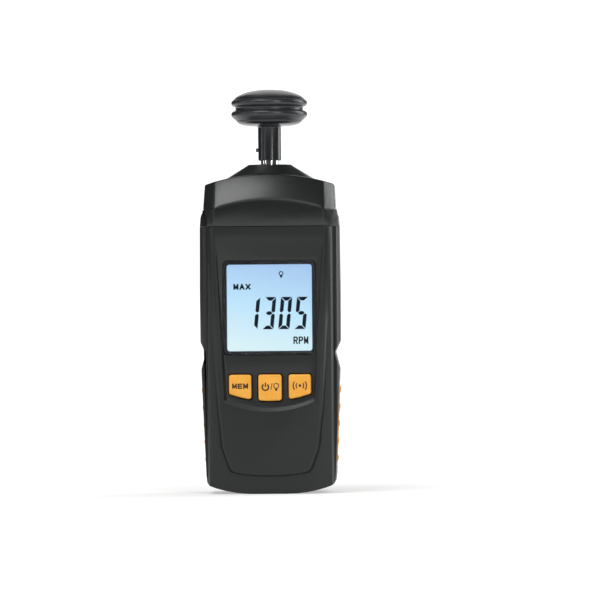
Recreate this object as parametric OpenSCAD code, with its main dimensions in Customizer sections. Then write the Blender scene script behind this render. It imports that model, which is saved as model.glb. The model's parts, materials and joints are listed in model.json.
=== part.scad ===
// Contact tachometer: a hand-held meter whose rubber wheel is held against a moving surface.
// X runs across the front, +Y points away from the reader and +Z up towards the wheel.
// The origin is under the middle of the base, and the shaft turns about the Z axis.

/* [Housing] */
// Width across the sides at the widest place
body_w = 58.4; // [57.4:0.2:61]
// Depth from the screen panel to the back
body_d = 37; // [36.5:0.25:41]
// Height of the seam between the body and the head cap
seam_z = 111; // [110:0.25:113]
// Wall of the moulded shells
wall = 2; // [1.8:0.05:2.1]
// Width across the sides at the waist
waist_w = 53.8; // [53.4:0.1:55]
// Height of the waist
waist_z = 58.6; // [57.5:0.1:59.5]
// Width across the hips under the waist
hip_w = 57.6; // [56.6:0.1:58]
// Width across the foot
foot_w = 54; // [53:0.1:54.6]
// Width of the flat base
base_w = 14; // [12:0.5:18]
// Radius of the curve on each side of the flat base
base_arc_r = 52; // [48:1:60]

/* [Tongue panel] */
// How far the panel stands proud of the front
tongue_rise = 2.5; // [2.2:0.1:2.6]
// Width of the panel at the seam
tongue_top_w = 46.8; // [46:0.1:47.2]
// Width of the panel near its foot
tongue_foot_w = 34.8; // [34:0.1:35.5]
// Height of the panel's lower edge
tongue_z = 7.7; // [7.2:0.1:8.4]
// Radius of the panel's curved lower edge
tongue_low_r = 82; // [76:1:100]
// Depth of the recess round the screen and the keys
recess_depth = 1.2; // [1:0.05:1.3]
// Radius of the curved step under the keys
smile_r = 44; // [42:0.5:48]

/* [Screen] */
// Width of the lit part of the screen
screen_w = 35.7; // [34.5:0.1:36]
// Height of the lit part of the screen
screen_h = 36.3; // [35:0.1:36.6]
// Height of the screen's middle
screen_z = 77.3; // [77:0.1:78]
// Dark border of the clear window round the lit part
window_border = 1.4; // [1.2:0.05:1.5]
// Thickness of the clear window
window_t = 1.2; // [1:0.05:1.25]

/* [Keys] */
// Width of the two outer keys
key_w = 9.3; // [9:0.05:9.5]
// Width of the middle key
key_mid_w = 9.7; // [9.4:0.05:9.8]
// Distance between the keys' middles
key_pitch = 12.4; // [12.2:0.05:12.6]
// Height of the keys' upper edge
key_top_z = 49.6; // [49:0.1:49.9]
// Height of the middle key's lowest point
key_low_z = 38.6; // [38.2:0.1:39]
// Radius of the curve along the keys' lower edges
key_arc_r = 50; // [46:1:56]
// Gap round each key
key_gap = 0.4; // [0.35:0.05:0.45]
// Travel of each key
key_travel = 0.6; // [0.5:0.05:0.7]

/* [Head cap] */
// Height of the head cap above the seam
head_h = 21.9; // [21:0.1:22.6]
// Radius of the head's arched top
head_top_r = 88; // [80:1:100]
// Width across the head at its upper corners
crown_w = 53.4; // [53:0.1:54]
// Lean of the sloped brow from upright
brow_lean = 31; // [29:0.5:33]
// Radius of the large curve of the brow from side to side
brow_r = 133; // [128:1:140]
// Height of the brow's lower edge above the seam
brow_z = 11.2; // [10.8:0.1:11.6]

/* [Nose] */
// Height of the nose above the top of the head
nose_h = 4.2; // [4:0.05:4.4]
// Diameter of the nose's end
nose_end_d = 19.2; // [18.6:0.1:19.8]
// Diameter of the nose where it meets the head
nose_foot_d = 35; // [34:0.5:36]

/* [Shaft and bearings] */
// Diameter of the shaft that carries the wheel
shaft_d = 7.4; // [7.2:0.05:7.6]
// Diameter of the shaft inside the bearings
journal_d = 6; // [5.9:0.05:6.05]
// Outside diameter of each ball bearing
bearing_d = 13; // [12.9:0.05:13.2]
// Width of each ball bearing
bearing_w = 5; // [4.9:0.05:5.1]
// Free stretch of shaft between the nose and the sleeve
shaft_free = 1.7; // [1.6:0.05:2.4]
// Diameter of the drive pin
pin_d = 1.5; // [1.4:0.05:1.6]

/* [Wheel] */
// Diameter over the ribs, for a circumference of a tenth of a metre
wheel_d = 31.8; // [31.6:0.05:32.4]
// Diameter at the bottom of the groove between the ribs
groove_d = 27.8; // [27.6:0.1:28.2]
// Diameter of the sleeve that slides on the shaft
sleeve_d = 9.6; // [9.4:0.05:9.9]
// Length of the sleeve under the wheel
sleeve_len = 14.4; // [14.2:0.1:15]
// Height of the wheel's domed cap
dome_h = 3.85; // [3.7:0.05:4.2]

/* [Battery bay] */
// Diameter of a cell
cell_d = 10.5; // [10.4:0.05:10.6]
// Length of a cell with its nub
cell_len = 44.5; // [44:0.1:44.8]
// Distance between neighbouring cells
cell_pitch = 10.8; // [10.75:0.05:10.9]

/* [Hidden] */

$fn = 48;
// Steps in each rounded corner of an outline
corner_steps = 4;
// Overrun of every cut past the face that it goes through
cut = 1;
// Clearance between fixed pieces that slip together
slip = 0.1;
// Clearance between pieces that move
play = 0.3;
// Radial clearance of a running fit
running = 0.05;

// Planes across the depth, from the front to the back
front_y = -body_d / 2;
back_y = body_d / 2;
base_y = front_y + tongue_rise;
recess_y = front_y + recess_depth;
skin_y = recess_y + wall;
seam_y = 1;
frame_depth = 5.3;
frame_wall = 1.5;
board_edge = 0.25;
board_t = 1.6;
board_y = skin_y + frame_depth;
board_back_y = board_y + board_t;

// Widths and heights of the screen's stack: the window, the frame round it and the board behind it
stack_w = screen_w + window_border * 2;
stack_h = screen_h + window_border * 2;
frame_w = stack_w + frame_wall * 2;
frame_h = stack_h + frame_wall * 2;
board_w = frame_w + board_edge * 2;

// Outline of the housing seen from the front, as half width, height and corner radius
corner_in = 0.5;
corner_r = 2.4;
base_steps = 5;
foot_z = 8;
hip_z = 51.8;
shoulder_z = 63.2;
shoulder_in = 0.1;
chest_z = 84;
neck_in = 0.2;
fold_r = 3;
function base_rise(x) = base_arc_r - sqrt(pow(base_arc_r, 2) - pow(max(x - base_w / 2, 0), 2));
function right_side(inset) = let (corner_x = foot_w / 2 - corner_in - inset) [
    for (i = [0:base_steps]) let (x = base_w / 2 + (corner_x - base_w / 2) * i / base_steps)
        [x, base_rise(x) + inset, i == base_steps ? corner_r : 0],
    [foot_w / 2 - inset, foot_z, fold_r],
    [hip_w / 2 - inset, hip_z, fold_r],
    [waist_w / 2 - inset, waist_z, fold_r / 2],
    [body_w / 2 - shoulder_in - inset, shoulder_z, fold_r],
    [body_w / 2 - inset, chest_z, fold_r * 4],
    [body_w / 2 - neck_in - inset, seam_z, 0]];

// Widest place of the housing below the seam
side_w = max(body_w, hip_w);

// Section of the housing seen from above, as half width, depth and corner radius
flank_in = 3.8;
groove_in = 2.9;
groove_back = 2.6;
band_in = 1.4;
band_back = 3.3;
side_back = 5.6;
back_in = 4.6;
back_corner = 13;
function body_section() = [
    [side_w / 2 - flank_in, base_y, wall / 2],
    [side_w / 2 - groove_in, base_y + groove_back, wall / 4],
    [side_w / 2 - band_in, base_y + band_back, wall / 4],
    [side_w / 2, base_y + side_back, wall],
    [side_w / 2, back_y - back_corner, back_corner / 2],
    [side_w / 2 - back_in, back_y, wall * 2]];
function bay_section(inset) = [
    [side_w / 2 - flank_in - inset, base_y + inset, wall / 2],
    [side_w / 2 - wall / 2 - inset, base_y + side_back + inset, wall],
    [side_w / 2 - wall / 2 - inset, back_y - back_corner, back_corner / 2],
    [side_w / 2 - wall / 2 - back_in - inset, back_y - inset, wall * 2]];

// Side view of the housing, as depth from the middle, height and corner radius
heel_in = 3.6;
heel_z = 7;
function side_view(inset) = [
    [base_y + inset, inset, wall / 4],
    [base_y + inset, seam_z, 0],
    [back_y - inset, seam_z, 0],
    [back_y - inset, heel_z, wall],
    [back_y - heel_in - inset, inset, wall]];

// Unit vector from one point to another
function unit2(v) = v / norm(v);

// Half angle from which a corner counts as straight
straight = 89.9;
// Corner b between a and c, rounded to the radius that b holds as its third number
function corner(a, b, c) =
    let (p = [b.x, b.y], u = unit2([a.x, a.y] - p), v = unit2([c.x, c.y] - p),
        half = acos(max(-1, min(1, u * v))) / 2, r = b.z)
    r <= 0 || half > straight ? [p] :
    let (d = r / tan(half), o = p + unit2(u + v) * (r / sin(half)), s = p + u * d - o, e = p + v * d - o,
        a0 = atan2(s.y, s.x), turn = (atan2(e.y, e.x) - a0 + 540) % 360 - 180)
    [for (i = [0:corner_steps]) o + r * [cos(a0 + turn * i / corner_steps), sin(a0 + turn * i / corner_steps)]];

// Closed outline with every corner rounded to its own radius
function rounded(p) = let (n = len(p)) [for (i = [0:n - 1]) each corner(p[(i + n - 1) % n], p[i], p[(i + 1) % n])];

// Closed outline from its right half, listed upwards
function both_sides(p) = concat(p, [for (i = [len(p) - 1:-1:0]) [-p[i].x, p[i].y, p[i].z]]);

// Rectangle round the middle with rounded corners
function plate_points(w, h, r) = rounded(both_sides([[w / 2, -h / 2, r], [w / 2, h / 2, r]]));

// Solid from an outline in X and Z, reaching from one depth to another
module slab(points, y0, y1) {
    translate([0, y1, 0]) rotate([90, 0, 0]) linear_extrude(y1 - y0) polygon(points);
}

// Plate in X and Z round a height, reaching from one depth to another
module plate(w, h, r, z, y0, y1) {
    translate([0, 0, z]) slab(plate_points(w, h, r), y0, y1);
}

// Round bar along Y
module bar_y(x, z, r, y0, y1) {
    translate([x, y1, z]) rotate([90, 0, 0]) cylinder(h = y1 - y0, r = r);
}

// Solid between two outlines in X and Z that have the same number of points
function middle(points) = [for (axis = [0, 1]) let (v = [for (p = points) p[axis]]) (min(v) + max(v)) / 2];
module loft(near, near_y, far, far_y) {
    n = len(near);
    near_mid = middle(near);
    far_mid = middle(far);
    points = concat([for (p = near) [p.x, near_y, p.y]], [for (p = far) [p.x, far_y, p.y]],
        [[near_mid.x, near_y, near_mid.y], [far_mid.x, far_y, far_mid.y]]);
    faces = [for (i = [0:n - 1]) let (j = (i + 1) % n)
        each [[i, j, n + i], [j, n + j, n + i], [j, i, 2 * n], [n + i, n + j, 2 * n + 1]]];
    polyhedron(points, faces);
}

// Body of the housing below the seam, drawn in by an inset
module body_form(inset) {
    intersection() {
        slab(rounded(both_sides(right_side(inset))), front_y, back_y);
        linear_extrude(seam_z) polygon(rounded(both_sides(inset > 0 ? bay_section(inset) : body_section())));
        rotate([90, 0, 90]) translate([0, 0, -side_w / 2]) linear_extrude(side_w)
            polygon(rounded(side_view(inset)));
    }
}

// Panel outline at its face, and at its foot when spread by the edge strip
strip_top = 2.4;
strip_low = 1.2;
tongue_r = 4;
tongue_rim = 2;
tongue_half_shares = [[0, 1], [0.35, 0.93], [0.54, 0.81], [0.73, 0.62], [0.89, 0.36]];
tongue_low_shares = [0.25, 0.5, 0.75];
window_foot_share = 0.83;
tongue_flare = max((tongue_top_w - tongue_foot_w) / 2,
    ((stack_w - tongue_foot_w) / 2 + tongue_rim) / window_foot_share);
function tongue_half(share) = tongue_foot_w / 2 + tongue_flare * share;
function tongue_rise_at(x) = tongue_low_r - sqrt(pow(tongue_low_r, 2) - pow(x, 2));
function tongue_points(spread) =
    let (h = seam_z - tongue_z, s = function (f) spread * (strip_low + (strip_top - strip_low) * (1 - f)))
    rounded(both_sides(concat(
        [for (share = tongue_low_shares) let (x = tongue_foot_w / 2 * share)
            [x, tongue_z - s(1) / 2 + tongue_rise_at(x), 0]],
        [let (x = tongue_foot_w / 2 - tongue_r / 3) [x + s(1), tongue_z - s(1) / 2 + tongue_rise_at(x), tongue_r]],
        [for (i = [len(tongue_half_shares) - 1:-1:0]) let (f = tongue_half_shares[i][0])
            [tongue_half(tongue_half_shares[i][1]) + s(f), seam_z - h * f, i == 0 ? 0 : fold_r * 4]])));

module tongue() {
    loft(tongue_points(0), front_y, tongue_points(1), base_y + wall / 4);
}

// Recess round the screen and keys: straight sides, a sloped top and a curved step at the foot
recess_top_gap = 1.9;
recess_top_z = screen_z + stack_h / 2 + recess_top_gap;
recess_slope = 6.4;
recess_edge = 1.5;
recess_top_share = 0.97;
recess_low_share = 0.72;
smile_side_z = key_low_z + key_gap;
smile_steps = 10;
function recess_points(spread) =
    let (top = tongue_half(recess_top_share) - recess_edge / 2 - recess_edge * (1 - spread) / 2,
        low = tongue_half(recess_low_share) - recess_edge * 2 - recess_edge * (1 - spread) / 2,
        drop = smile_side_z - recess_edge * (spread - 0.5),
        mid = sqrt(pow(smile_r, 2) - pow(low, 2)))
    concat([for (i = [0:smile_steps]) let (x = -low + 2 * low * i / smile_steps)
            [x, drop + mid - sqrt(pow(smile_r, 2) - pow(x, 2))]],
        [[top, recess_top_z + recess_slope * spread], [-top, recess_top_z + recess_slope * spread]]);

module recess() {
    loft(recess_points(1), front_y - cut / 100, recess_points(0), recess_y);
}

// Key outline: flat top, upright sides and a lower edge on the common arc
key_xs = [-key_pitch, 0, key_pitch];
key_ws = [key_w, key_mid_w, key_w];
key_corner_r = 1;
key_flange = 0.6;
function key_low(x) = key_low_z + key_arc_r - sqrt(pow(key_arc_r, 2) - pow(x, 2));
function key_points(i, spread) =
    let (x0 = key_xs[i] - key_ws[i] / 2 - spread, x1 = key_xs[i] + key_ws[i] / 2 + spread,
        r = max(key_corner_r + spread, key_gap))
    rounded([[x0, key_low(x0) - spread, r], [key_xs[i], key_low(key_xs[i]) - spread, 0],
        [x1, key_low(x1) - spread, r], [x1, key_top_z + spread, r], [x0, key_top_z + spread, r]]);

// Places of the housing screws, board screws and their bosses, as X and Z
screw_r = 1.1;
screw_head_r = 2.2;
screw_head_t = 1.6;
boss_r = 2.6;
boss_in = 7.1;
low_screw_in = 4.8;
low_screw_z = boss_r * 3;
top_screw_drop = 8;
housing_screw_at = [for (s = [-1, 1]) each [
    [s * (foot_w / 2 - low_screw_in), low_screw_z],
    [s * (body_w / 2 - boss_in), seam_z - top_screw_drop]]];
board_low_z = 15.5;
board_top_drop = 12.5;
board_top_z = seam_z - board_top_drop;
board_boss_r = 2.1;
board_screw_in = 2.2;
board_screw_at = [for (s = [-1, 1]) each [
    [s * (board_w / 2 - board_screw_in), board_low_z + board_boss_r * 2],
    [s * (board_w / 2 - board_screw_in), key_top_z + board_boss_r + wall / 2]]];
screw_pocket_y = back_y - wall * 2;

// Grip strip let into each side, with its row of bumps
grip_low_z = 10.9;
grip_top_z = 46.6;
grip_half_d = 5;
grip_t = 1.5;
grip_bumps = 5;
bump_r = 3.6;
bump_proud = 0.6;
function grip_side(z) = let (f = (z - foot_z) / (hip_z - foot_z)) min(side_w, foot_w + (hip_w - foot_w) * f) / 2;
grip_lean = atan2(grip_side(grip_top_z) - grip_side(grip_low_z), grip_top_z - grip_low_z);

module grip_seat(side, clear) {
    mid = (grip_low_z + grip_top_z) / 2;
    mid_x = (grip_side(grip_low_z) + grip_side(grip_top_z)) / 2;
    translate([side * mid_x, 0, mid]) rotate([0, side * grip_lean, 0])
        cube([(grip_t + clear) * 2, (grip_half_d + clear) * 2, grip_top_z - grip_low_z + clear * 2], center = true);
}

module housing_shell() {
    difference() {
        body_form(0);
        body_form(wall);
        translate([0, 0, seam_z - wall]) linear_extrude(wall + cut)
            polygon(rounded(both_sides(bay_section(wall))));
    }
}

// Lip that rises past the seam into the head cap
lip_t = 1;
lip_h = 2.5;
module seam_lip() {
    translate([0, 0, seam_z - lip_h]) linear_extrude(lip_h * 2) difference() {
        polygon(rounded(both_sides(bay_section(wall + slip))));
        polygon(rounded(both_sides(bay_section(wall + slip + lip_t))));
    }
    translate([0, 0, seam_z - lip_h]) linear_extrude(lip_h) difference() {
        polygon(rounded(both_sides(bay_section(wall - slip))));
        polygon(rounded(both_sides(bay_section(wall + slip + lip_t))));
    }
}

module front_housing() {
    color("#23262a") difference() {
        union() {
            intersection() {
                union() {
                    housing_shell();
                    seam_lip();
                    tongue();
                    for (p = housing_screw_at) bar_y(p.x, p.y, boss_r, base_y + wall, seam_y);
                }
                translate([-body_w, front_y - cut, 0]) cube([body_w * 2, seam_y - front_y + cut, seam_z + lip_h]);
                union() {
                    body_form(0);
                    tongue();
                    translate([0, 0, seam_z - lip_h]) linear_extrude(lip_h * 2)
                        polygon(rounded(both_sides(bay_section(wall - slip))));
                }
            }
            for (p = board_screw_at) bar_y(p.x, p.y, board_boss_r, skin_y - wall / 2, board_y);
        }
        plate(frame_w + slip * 2, frame_h + slip * 2, frame_wall, screen_z, skin_y, board_y);
        translate([-board_w / 2 - slip, board_y, board_low_z - slip])
            cube([board_w + slip * 2, seam_y - board_y + cut, board_top_z - board_low_z + slip * 2]);
        for (i = [0:2]) slab(key_points(i, key_gap * 2 + key_flange), skin_y, base_y + wall + cut / 10);
        recess();
        plate(stack_w + slip * 2, stack_h + slip * 2, wall, screen_z, front_y, recess_y + window_t + slip);
        plate(screen_w + window_border / 2, screen_h + window_border / 2, wall / 2, screen_z, front_y, skin_y + cut);
        for (i = [0:2]) slab(key_points(i, key_gap), front_y, skin_y + cut);
        for (p = housing_screw_at) bar_y(p.x, p.y, screw_r, base_y + wall * 2, seam_y + cut);
        for (p = board_screw_at) bar_y(p.x, p.y, screw_r, skin_y, board_y + cut);
        for (side = [-1, 1]) grip_seat(side, 0);
    }
}

// Battery bay: three upright cells between end contacts, behind a door that slides down
contact_t = 0.5;
spring_h = 3.9;
bay_gap = 0.35;
bay_low_z = 13.6;
bay_len = cell_len + spring_h + contact_t * 2;
bay_w = cell_pitch * 2 + cell_d + bay_gap * 2;
door_t = 1.8;
door_lap = 1.6;
door_y = back_y - door_t;
cell_y = door_y - bay_gap - cell_d / 2;
bay_y = cell_y - cell_d / 2 - bay_gap;
bay_wall = 1.4;
door_top_z = bay_low_z + bay_len + door_lap;
door_bevel = 1;

// Section of the door: wider inside, so that the rails hold it
function door_section(clear) =
    let (half = bay_w / 2 + door_lap + clear)
    [[-half, door_y - clear], [half, door_y - clear], [half - door_bevel, back_y], [-half + door_bevel, back_y]];

module door_form(clear) {
    translate([0, 0, -cut * (clear > 0 ? 1 : 0)])
        linear_extrude(door_top_z + clear + cut * (clear > 0 ? 1 : 0)) polygon(door_section(clear));
}

module rear_housing() {
    color("#202327") difference() {
        union() {
            intersection() {
                union() {
                    housing_shell();
                    seam_lip();
                    for (p = housing_screw_at) bar_y(p.x, p.y, boss_r + wall / 2, seam_y, back_y - wall / 2);
                    translate([-bay_w / 2 - bay_wall, bay_y - bay_wall, bay_low_z - bay_wall])
                        cube([bay_w + bay_wall * 2, back_y - bay_y, bay_len + bay_wall * 2]);
                    translate([-bay_w / 2 - bay_wall * 2, door_y - wall, 0])
                        cube([bay_w + bay_wall * 4, wall * 1.5, door_top_z + bay_wall]);
                }
                translate([-body_w, seam_y, 0]) cube([body_w * 2, body_d, seam_z + lip_h]);
                union() {
                    body_form(0);
                    translate([0, 0, seam_z - lip_h]) linear_extrude(lip_h * 2)
                        polygon(rounded(both_sides(bay_section(wall - slip))));
                }
            }
        }
        translate([-bay_w / 2, bay_y, bay_low_z]) cube([bay_w, body_d, bay_len]);
        door_form(play / 2);
        for (p = housing_screw_at) {
            bar_y(p.x, p.y, screw_r, seam_y - cut, back_y);
            bar_y(p.x, p.y, screw_head_r + slip, screw_pocket_y - screw_head_t, back_y + cut);
        }
        for (side = [-1, 1]) grip_seat(side, 0);
    }
}

// Ribs for the thumb near the door's upper end
thumb_ribs = 5;
thumb_pitch = 1.6;
thumb_w = 14;
thumb_r = 0.5;
module battery_door() {
    color("#26292d") difference() {
        intersection() {
            door_form(0);
            rotate([90, 0, 90]) translate([0, 0, -body_w / 2]) linear_extrude(body_w)
                polygon(rounded(side_view(0)));
            translate([-body_w, 0, 0]) cube([body_w * 2, body_d, seam_z]);
        }
        for (i = [0:thumb_ribs - 1])
            translate([-thumb_w / 2, back_y + thumb_r / 4, door_top_z - thumb_pitch * (i + 3)])
                rotate([0, 90, 0]) cylinder(h = thumb_w, r = thumb_r);
    }
}

// Outline of the head cap seen from the front, as half width, height and corner radius
nick_w = 54.6;
nick_h = 7.1;
flare_h = 4.4;
flare_in = 0.6;
crown_r = 1.2;
function head_side(inset) = [
    [body_w / 2 - neck_in - inset, seam_z, 0],
    [body_w / 2 - flare_in - inset, seam_z + flare_h, fold_r],
    [nick_w / 2 - inset, seam_z + nick_h, wall / 4],
    [nick_w / 2 + slip - inset, seam_z + nick_h + wall / 2, wall / 4],
    [crown_w / 2 - inset, seam_z + head_h, 0]];

// Section of the head cap seen from above
head_front_w = 45.8;
head_cheek_in = 3.6;
head_cheek_back = 3.2;
head_back_in = 5;
head_back_corner = 9;
function head_section(inset) = [
    [head_front_w / 2 - inset, front_y + inset, wall / 2],
    [body_w / 2 - head_cheek_in - inset, front_y + head_cheek_back + inset / 2, wall / 2],
    [body_w / 2 - inset, base_y + side_back + inset / 2, wall],
    [body_w / 2 - inset, back_y - head_back_corner, fold_r * 2],
    [body_w / 2 - head_back_in - inset, back_y - inset, wall * 2]];

head_top_z = seam_z + head_h;
module head_form(inset) {
    intersection() {
        slab(rounded(both_sides(head_side(inset))), front_y, back_y);
        translate([0, 0, seam_z]) linear_extrude(head_h) polygon(rounded(both_sides(head_section(inset))));
        translate([0, back_y + cut, head_top_z - inset - head_top_r]) rotate([90, 0, 0])
            cylinder(h = body_d + cut * 2, r = head_top_r, $fn = 96);
        brow_form(inset);
        cheek_form(inset);
    }
}

// Cheeks beside the brow: the section's sides, leaning back with the slope from the brow's ends upwards
cheek_z = nick_h;
module cheek_form(inset) {
    flat = cos(brow_lean);
    translate([0, front_y, seam_z + cheek_z]) rotate([-brow_lean, 0, 0])
        translate([0, 0, -body_d * 2]) linear_extrude(body_d * 4) polygon(rounded(both_sides([
            [head_front_w - body_w / 2 + head_cheek_in - inset * 2, -head_cheek_back * flat, 0],
            [body_w / 2 - head_cheek_in - inset, (head_cheek_back + inset / 2) * flat, wall / 2],
            [body_w / 2 - inset, (base_y + side_back - front_y + inset / 2) * flat, wall],
            [body_w / 2 - inset, body_d * 2, 0]])));
}

// Half space behind the brow: a large cylinder whose axis follows the slope
module brow_form(inset) {
    translate([0, front_y, seam_z + brow_z]) rotate([-brow_lean, 0, 0])
        translate([0, brow_r + inset, -body_d * 2]) cylinder(h = body_d * 4, r = brow_r, $fn = 96);
}

block_wall = 1.8;
block_r = bearing_d / 2 + block_wall;
flange_t = 3;
flange_drop = 3.6;
flange_w = 29;
flange_d = 18;
flange_z = head_top_z - flange_drop - flange_t;
block_screw_at = [for (sx = [-1, 1], sy = [-1, 1]) [sx * (flange_w / 2 - boss_r), sy * (flange_d / 2 - boss_r)]];

module head_cap() {
    color("#2a2e32") difference() {
        union() {
            difference() {
                head_form(0);
                head_form(wall);
                translate([0, 0, seam_z - cut]) linear_extrude(wall + cut)
                    polygon(rounded(both_sides(head_section(wall))));
            }
            intersection() {
                head_form(0);
                for (p = block_screw_at) translate([p.x, p.y, flange_z + flange_t])
                    cylinder(h = flange_drop, r = boss_r);
            }
        }
        translate([0, 0, flange_z]) cylinder(h = head_h, r = block_r + slip);
        for (p = block_screw_at) translate([p.x, p.y, flange_z]) cylinder(h = flange_t + flange_drop - wall / 2, r = screw_r);
    }
}

nose_top_z = head_top_z + nose_h;
nose_edge_r = 1.2;
nose_slab = -front_y - (head_h - brow_z) * tan(brow_lean) - slip;
seal_r = 5.6;
seal_h = 1.8;
seal_drop = 0.6;
nose_bore_r = shaft_d / 2 + play;
collar_z = nose_top_z - seal_drop - seal_h - wall / 2;
module nose_cone() {
    color("#2b2f33") difference() {
        intersection() {
            rotate_extrude() polygon(rounded([[0, head_top_z - wall * 1.5, 0], [nose_foot_d / 2, head_top_z - wall * 1.5, 0],
                [nose_foot_d / 2, head_top_z - wall * 0.75, 0], [nose_end_d / 2 - nose_edge_r / 3, nose_top_z, nose_edge_r],
                [0, nose_top_z, 0]]));
            translate([-body_w, -nose_slab, 0]) cube([body_w * 2, nose_slab * 2, nose_top_z]);
        }
        translate([0, back_y + cut, head_top_z - head_top_r]) rotate([90, 0, 0])
            cylinder(h = body_d + cut * 2, r = head_top_r, $fn = 96);
        translate([0, 0, head_top_z - wall * 2]) cylinder(h = collar_z - head_top_z + wall * 2, r = block_r + slip);
        translate([0, 0, head_top_z]) cylinder(h = nose_h + cut, r = nose_bore_r);
        translate([0, 0, nose_top_z - seal_drop - seal_h]) cylinder(h = seal_h + seal_drop + cut, r = seal_r);
    }
}

module shaft_seal() {
    color("#151617") translate([0, 0, nose_top_z - seal_drop - seal_h])
        rotate_extrude() translate([shaft_d / 2 + running, 0])
            polygon(rounded([[0, 0, 0], [seal_r - shaft_d / 2 - running, 0, 0],
                [seal_r - shaft_d / 2 - running, seal_h, 0], [seal_h / 3, seal_h, seal_h / 8], [0, seal_h * 0.6, 0]]));
}

// Bearing block: a flanged tube that holds a ball bearing in each end
block_drop = 21;
block_low_z = head_top_z - block_drop;
top_bearing_z = collar_z - bearing_w - slip * 2;
block_lip = 1.2;
low_bearing_z = block_low_z + block_lip;
bearing_bore_r = bearing_d / 2;
leg_r = 2;
leg_x = flange_w / 2 - leg_r;
sensor_drop = 14;
sensor_z = seam_z - sensor_drop;
module bearing_block() {
    color("#8e9194") difference() {
        union() {
            translate([0, 0, block_low_z]) cylinder(h = collar_z - block_low_z - slip, r = block_r);
            translate([0, 0, flange_z]) linear_extrude(flange_t) polygon(plate_points(flange_w, flange_d, wall));
            for (side = [-1, 1]) translate([side * leg_x, 0, sensor_z + board_t])
                cylinder(h = flange_z - sensor_z - board_t + slip, r = leg_r);
        }
        translate([0, 0, block_low_z - cut]) cylinder(h = collar_z - block_low_z + cut * 2, r = bearing_bore_r - wall / 2);
        translate([0, 0, block_low_z - cut]) cylinder(h = low_bearing_z + bearing_w - block_low_z + cut, r = bearing_bore_r);
        translate([0, 0, top_bearing_z]) cylinder(h = bearing_w + cut, r = bearing_bore_r);
        for (p = block_screw_at) translate([p.x, p.y, flange_z - cut]) cylinder(h = flange_t + cut * 2, r = screw_r);
        for (side = [-1, 1]) translate([side * leg_x, 0, sensor_z]) cylinder(h = board_t * 4, r = screw_r);
    }
}

// Ball bearing: rings with a rounded race and a row of balls between them
ball_r = 1.1;
ball_count = 8;
ball_clear = 0.03;
ring_t = 1.15;
race_r = (journal_d + bearing_d) / 4;
module ring_pair(inner_r, outer_r) {
    for (z = [low_bearing_z, top_bearing_z]) translate([0, 0, z]) rotate_extrude() difference() {
        translate([inner_r, 0]) square([outer_r - inner_r, bearing_w]);
        translate([race_r, bearing_w / 2]) circle(r = ball_r + ball_clear);
    }
}
module bearing_outer_rings() {
    color("#b9bcc0") ring_pair(bearing_d / 2 - ring_t, bearing_d / 2);
}
module bearing_inner_rings() {
    color("#c3c6ca") ring_pair(journal_d / 2, journal_d / 2 + ring_t);
}
module bearing_balls() {
    color("#d5d8dc") for (z = [low_bearing_z, top_bearing_z], i = [0:ball_count - 1])
        rotate([0, 0, 360 * i / ball_count]) translate([race_r, 0, z + bearing_w / 2]) sphere(r = ball_r);
}

// Drive shaft: bearing journals below a shoulder, with a cross hole for the drive pin
sleeve_z = nose_top_z + shaft_free;
shoulder_at = top_bearing_z + bearing_w;
shaft_low_z = sensor_z + board_t + play;
ring_w = 0.8;
ring_groove = 0.4;
ring_groove_r = journal_d / 2 - ring_groove;
pin_up = 4.4;
pin_z = sleeve_z + pin_up;
pin_out = 0.9;
pin_flush_r = shaft_d / 2 - slip;
shaft_in_sleeve = 9.6;
chamfer = 0.5;
module drive_shaft() {
    color("#c9ccd0") difference() {
        rotate_extrude() polygon([[0, shaft_low_z], [journal_d / 2 - chamfer, shaft_low_z],
            [journal_d / 2, shaft_low_z + chamfer], [journal_d / 2, low_bearing_z - ring_w],
            [ring_groove_r, low_bearing_z - ring_w], [ring_groove_r, low_bearing_z],
            [journal_d / 2, low_bearing_z], [journal_d / 2, shoulder_at], [shaft_d / 2, shoulder_at],
            [shaft_d / 2, sleeve_z + shaft_in_sleeve - chamfer],
            [shaft_d / 2 - chamfer, sleeve_z + shaft_in_sleeve], [0, sleeve_z + shaft_in_sleeve]]);
        translate([-shaft_d, 0, pin_z]) rotate([0, 90, 0]) cylinder(h = shaft_d + pin_flush_r, r = pin_d / 2);
    }
}
module drive_pin() {
    color("#d0d3d6") translate([-sleeve_d / 2 - pin_out, 0, pin_z]) rotate([0, 90, 0])
        cylinder(h = sleeve_d / 2 + pin_out + pin_flush_r, r = pin_d / 2);
}

ring_out = 1.2;
ring_open = 2.4;
module retaining_ring() {
    color("#7d8085") translate([0, 0, low_bearing_z - ring_w]) difference() {
        cylinder(h = ring_w, r = journal_d / 2 + ring_out);
        translate([0, 0, -cut]) cylinder(h = ring_w + cut * 2, r = ring_groove_r);
        translate([0, -ring_open / 2, -cut]) cube([journal_d, ring_open, ring_w + cut * 2]);
    }
}

// Slotted encoder disc on its hub, with its edge inside the photo interrupter's fork
disc_clear = 0.5;
disc_r = leg_x - leg_r - disc_clear;
disc_t = 0.6;
disc_slots = 20;
slot_w = 1;
slot_len = 2;
slot_in = 0.8;
disc_up = 6.2;
disc_z = sensor_z + disc_up;
hub_r = 4.4;
hub_h = 3;
module encoder_disc() {
    color("#3a3d42") difference() {
        translate([0, 0, disc_z]) cylinder(h = disc_t, r = disc_r);
        translate([0, 0, disc_z - cut]) cylinder(h = disc_t + cut * 2, r = journal_d / 2);
        for (i = [0:disc_slots - 1]) rotate([0, 0, 360 * i / disc_slots])
            translate([disc_r - slot_in - slot_len, -slot_w / 2, disc_z - cut]) cube([slot_len, slot_w, disc_t + cut * 2]);
    }
}
module encoder_hub() {
    color("#dcdcd6") translate([0, 0, disc_z - hub_h]) difference() {
        cylinder(h = hub_h, r = hub_r);
        translate([0, 0, -cut]) cylinder(h = hub_h + cut * 2, r = journal_d / 2);
    }
}

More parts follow.
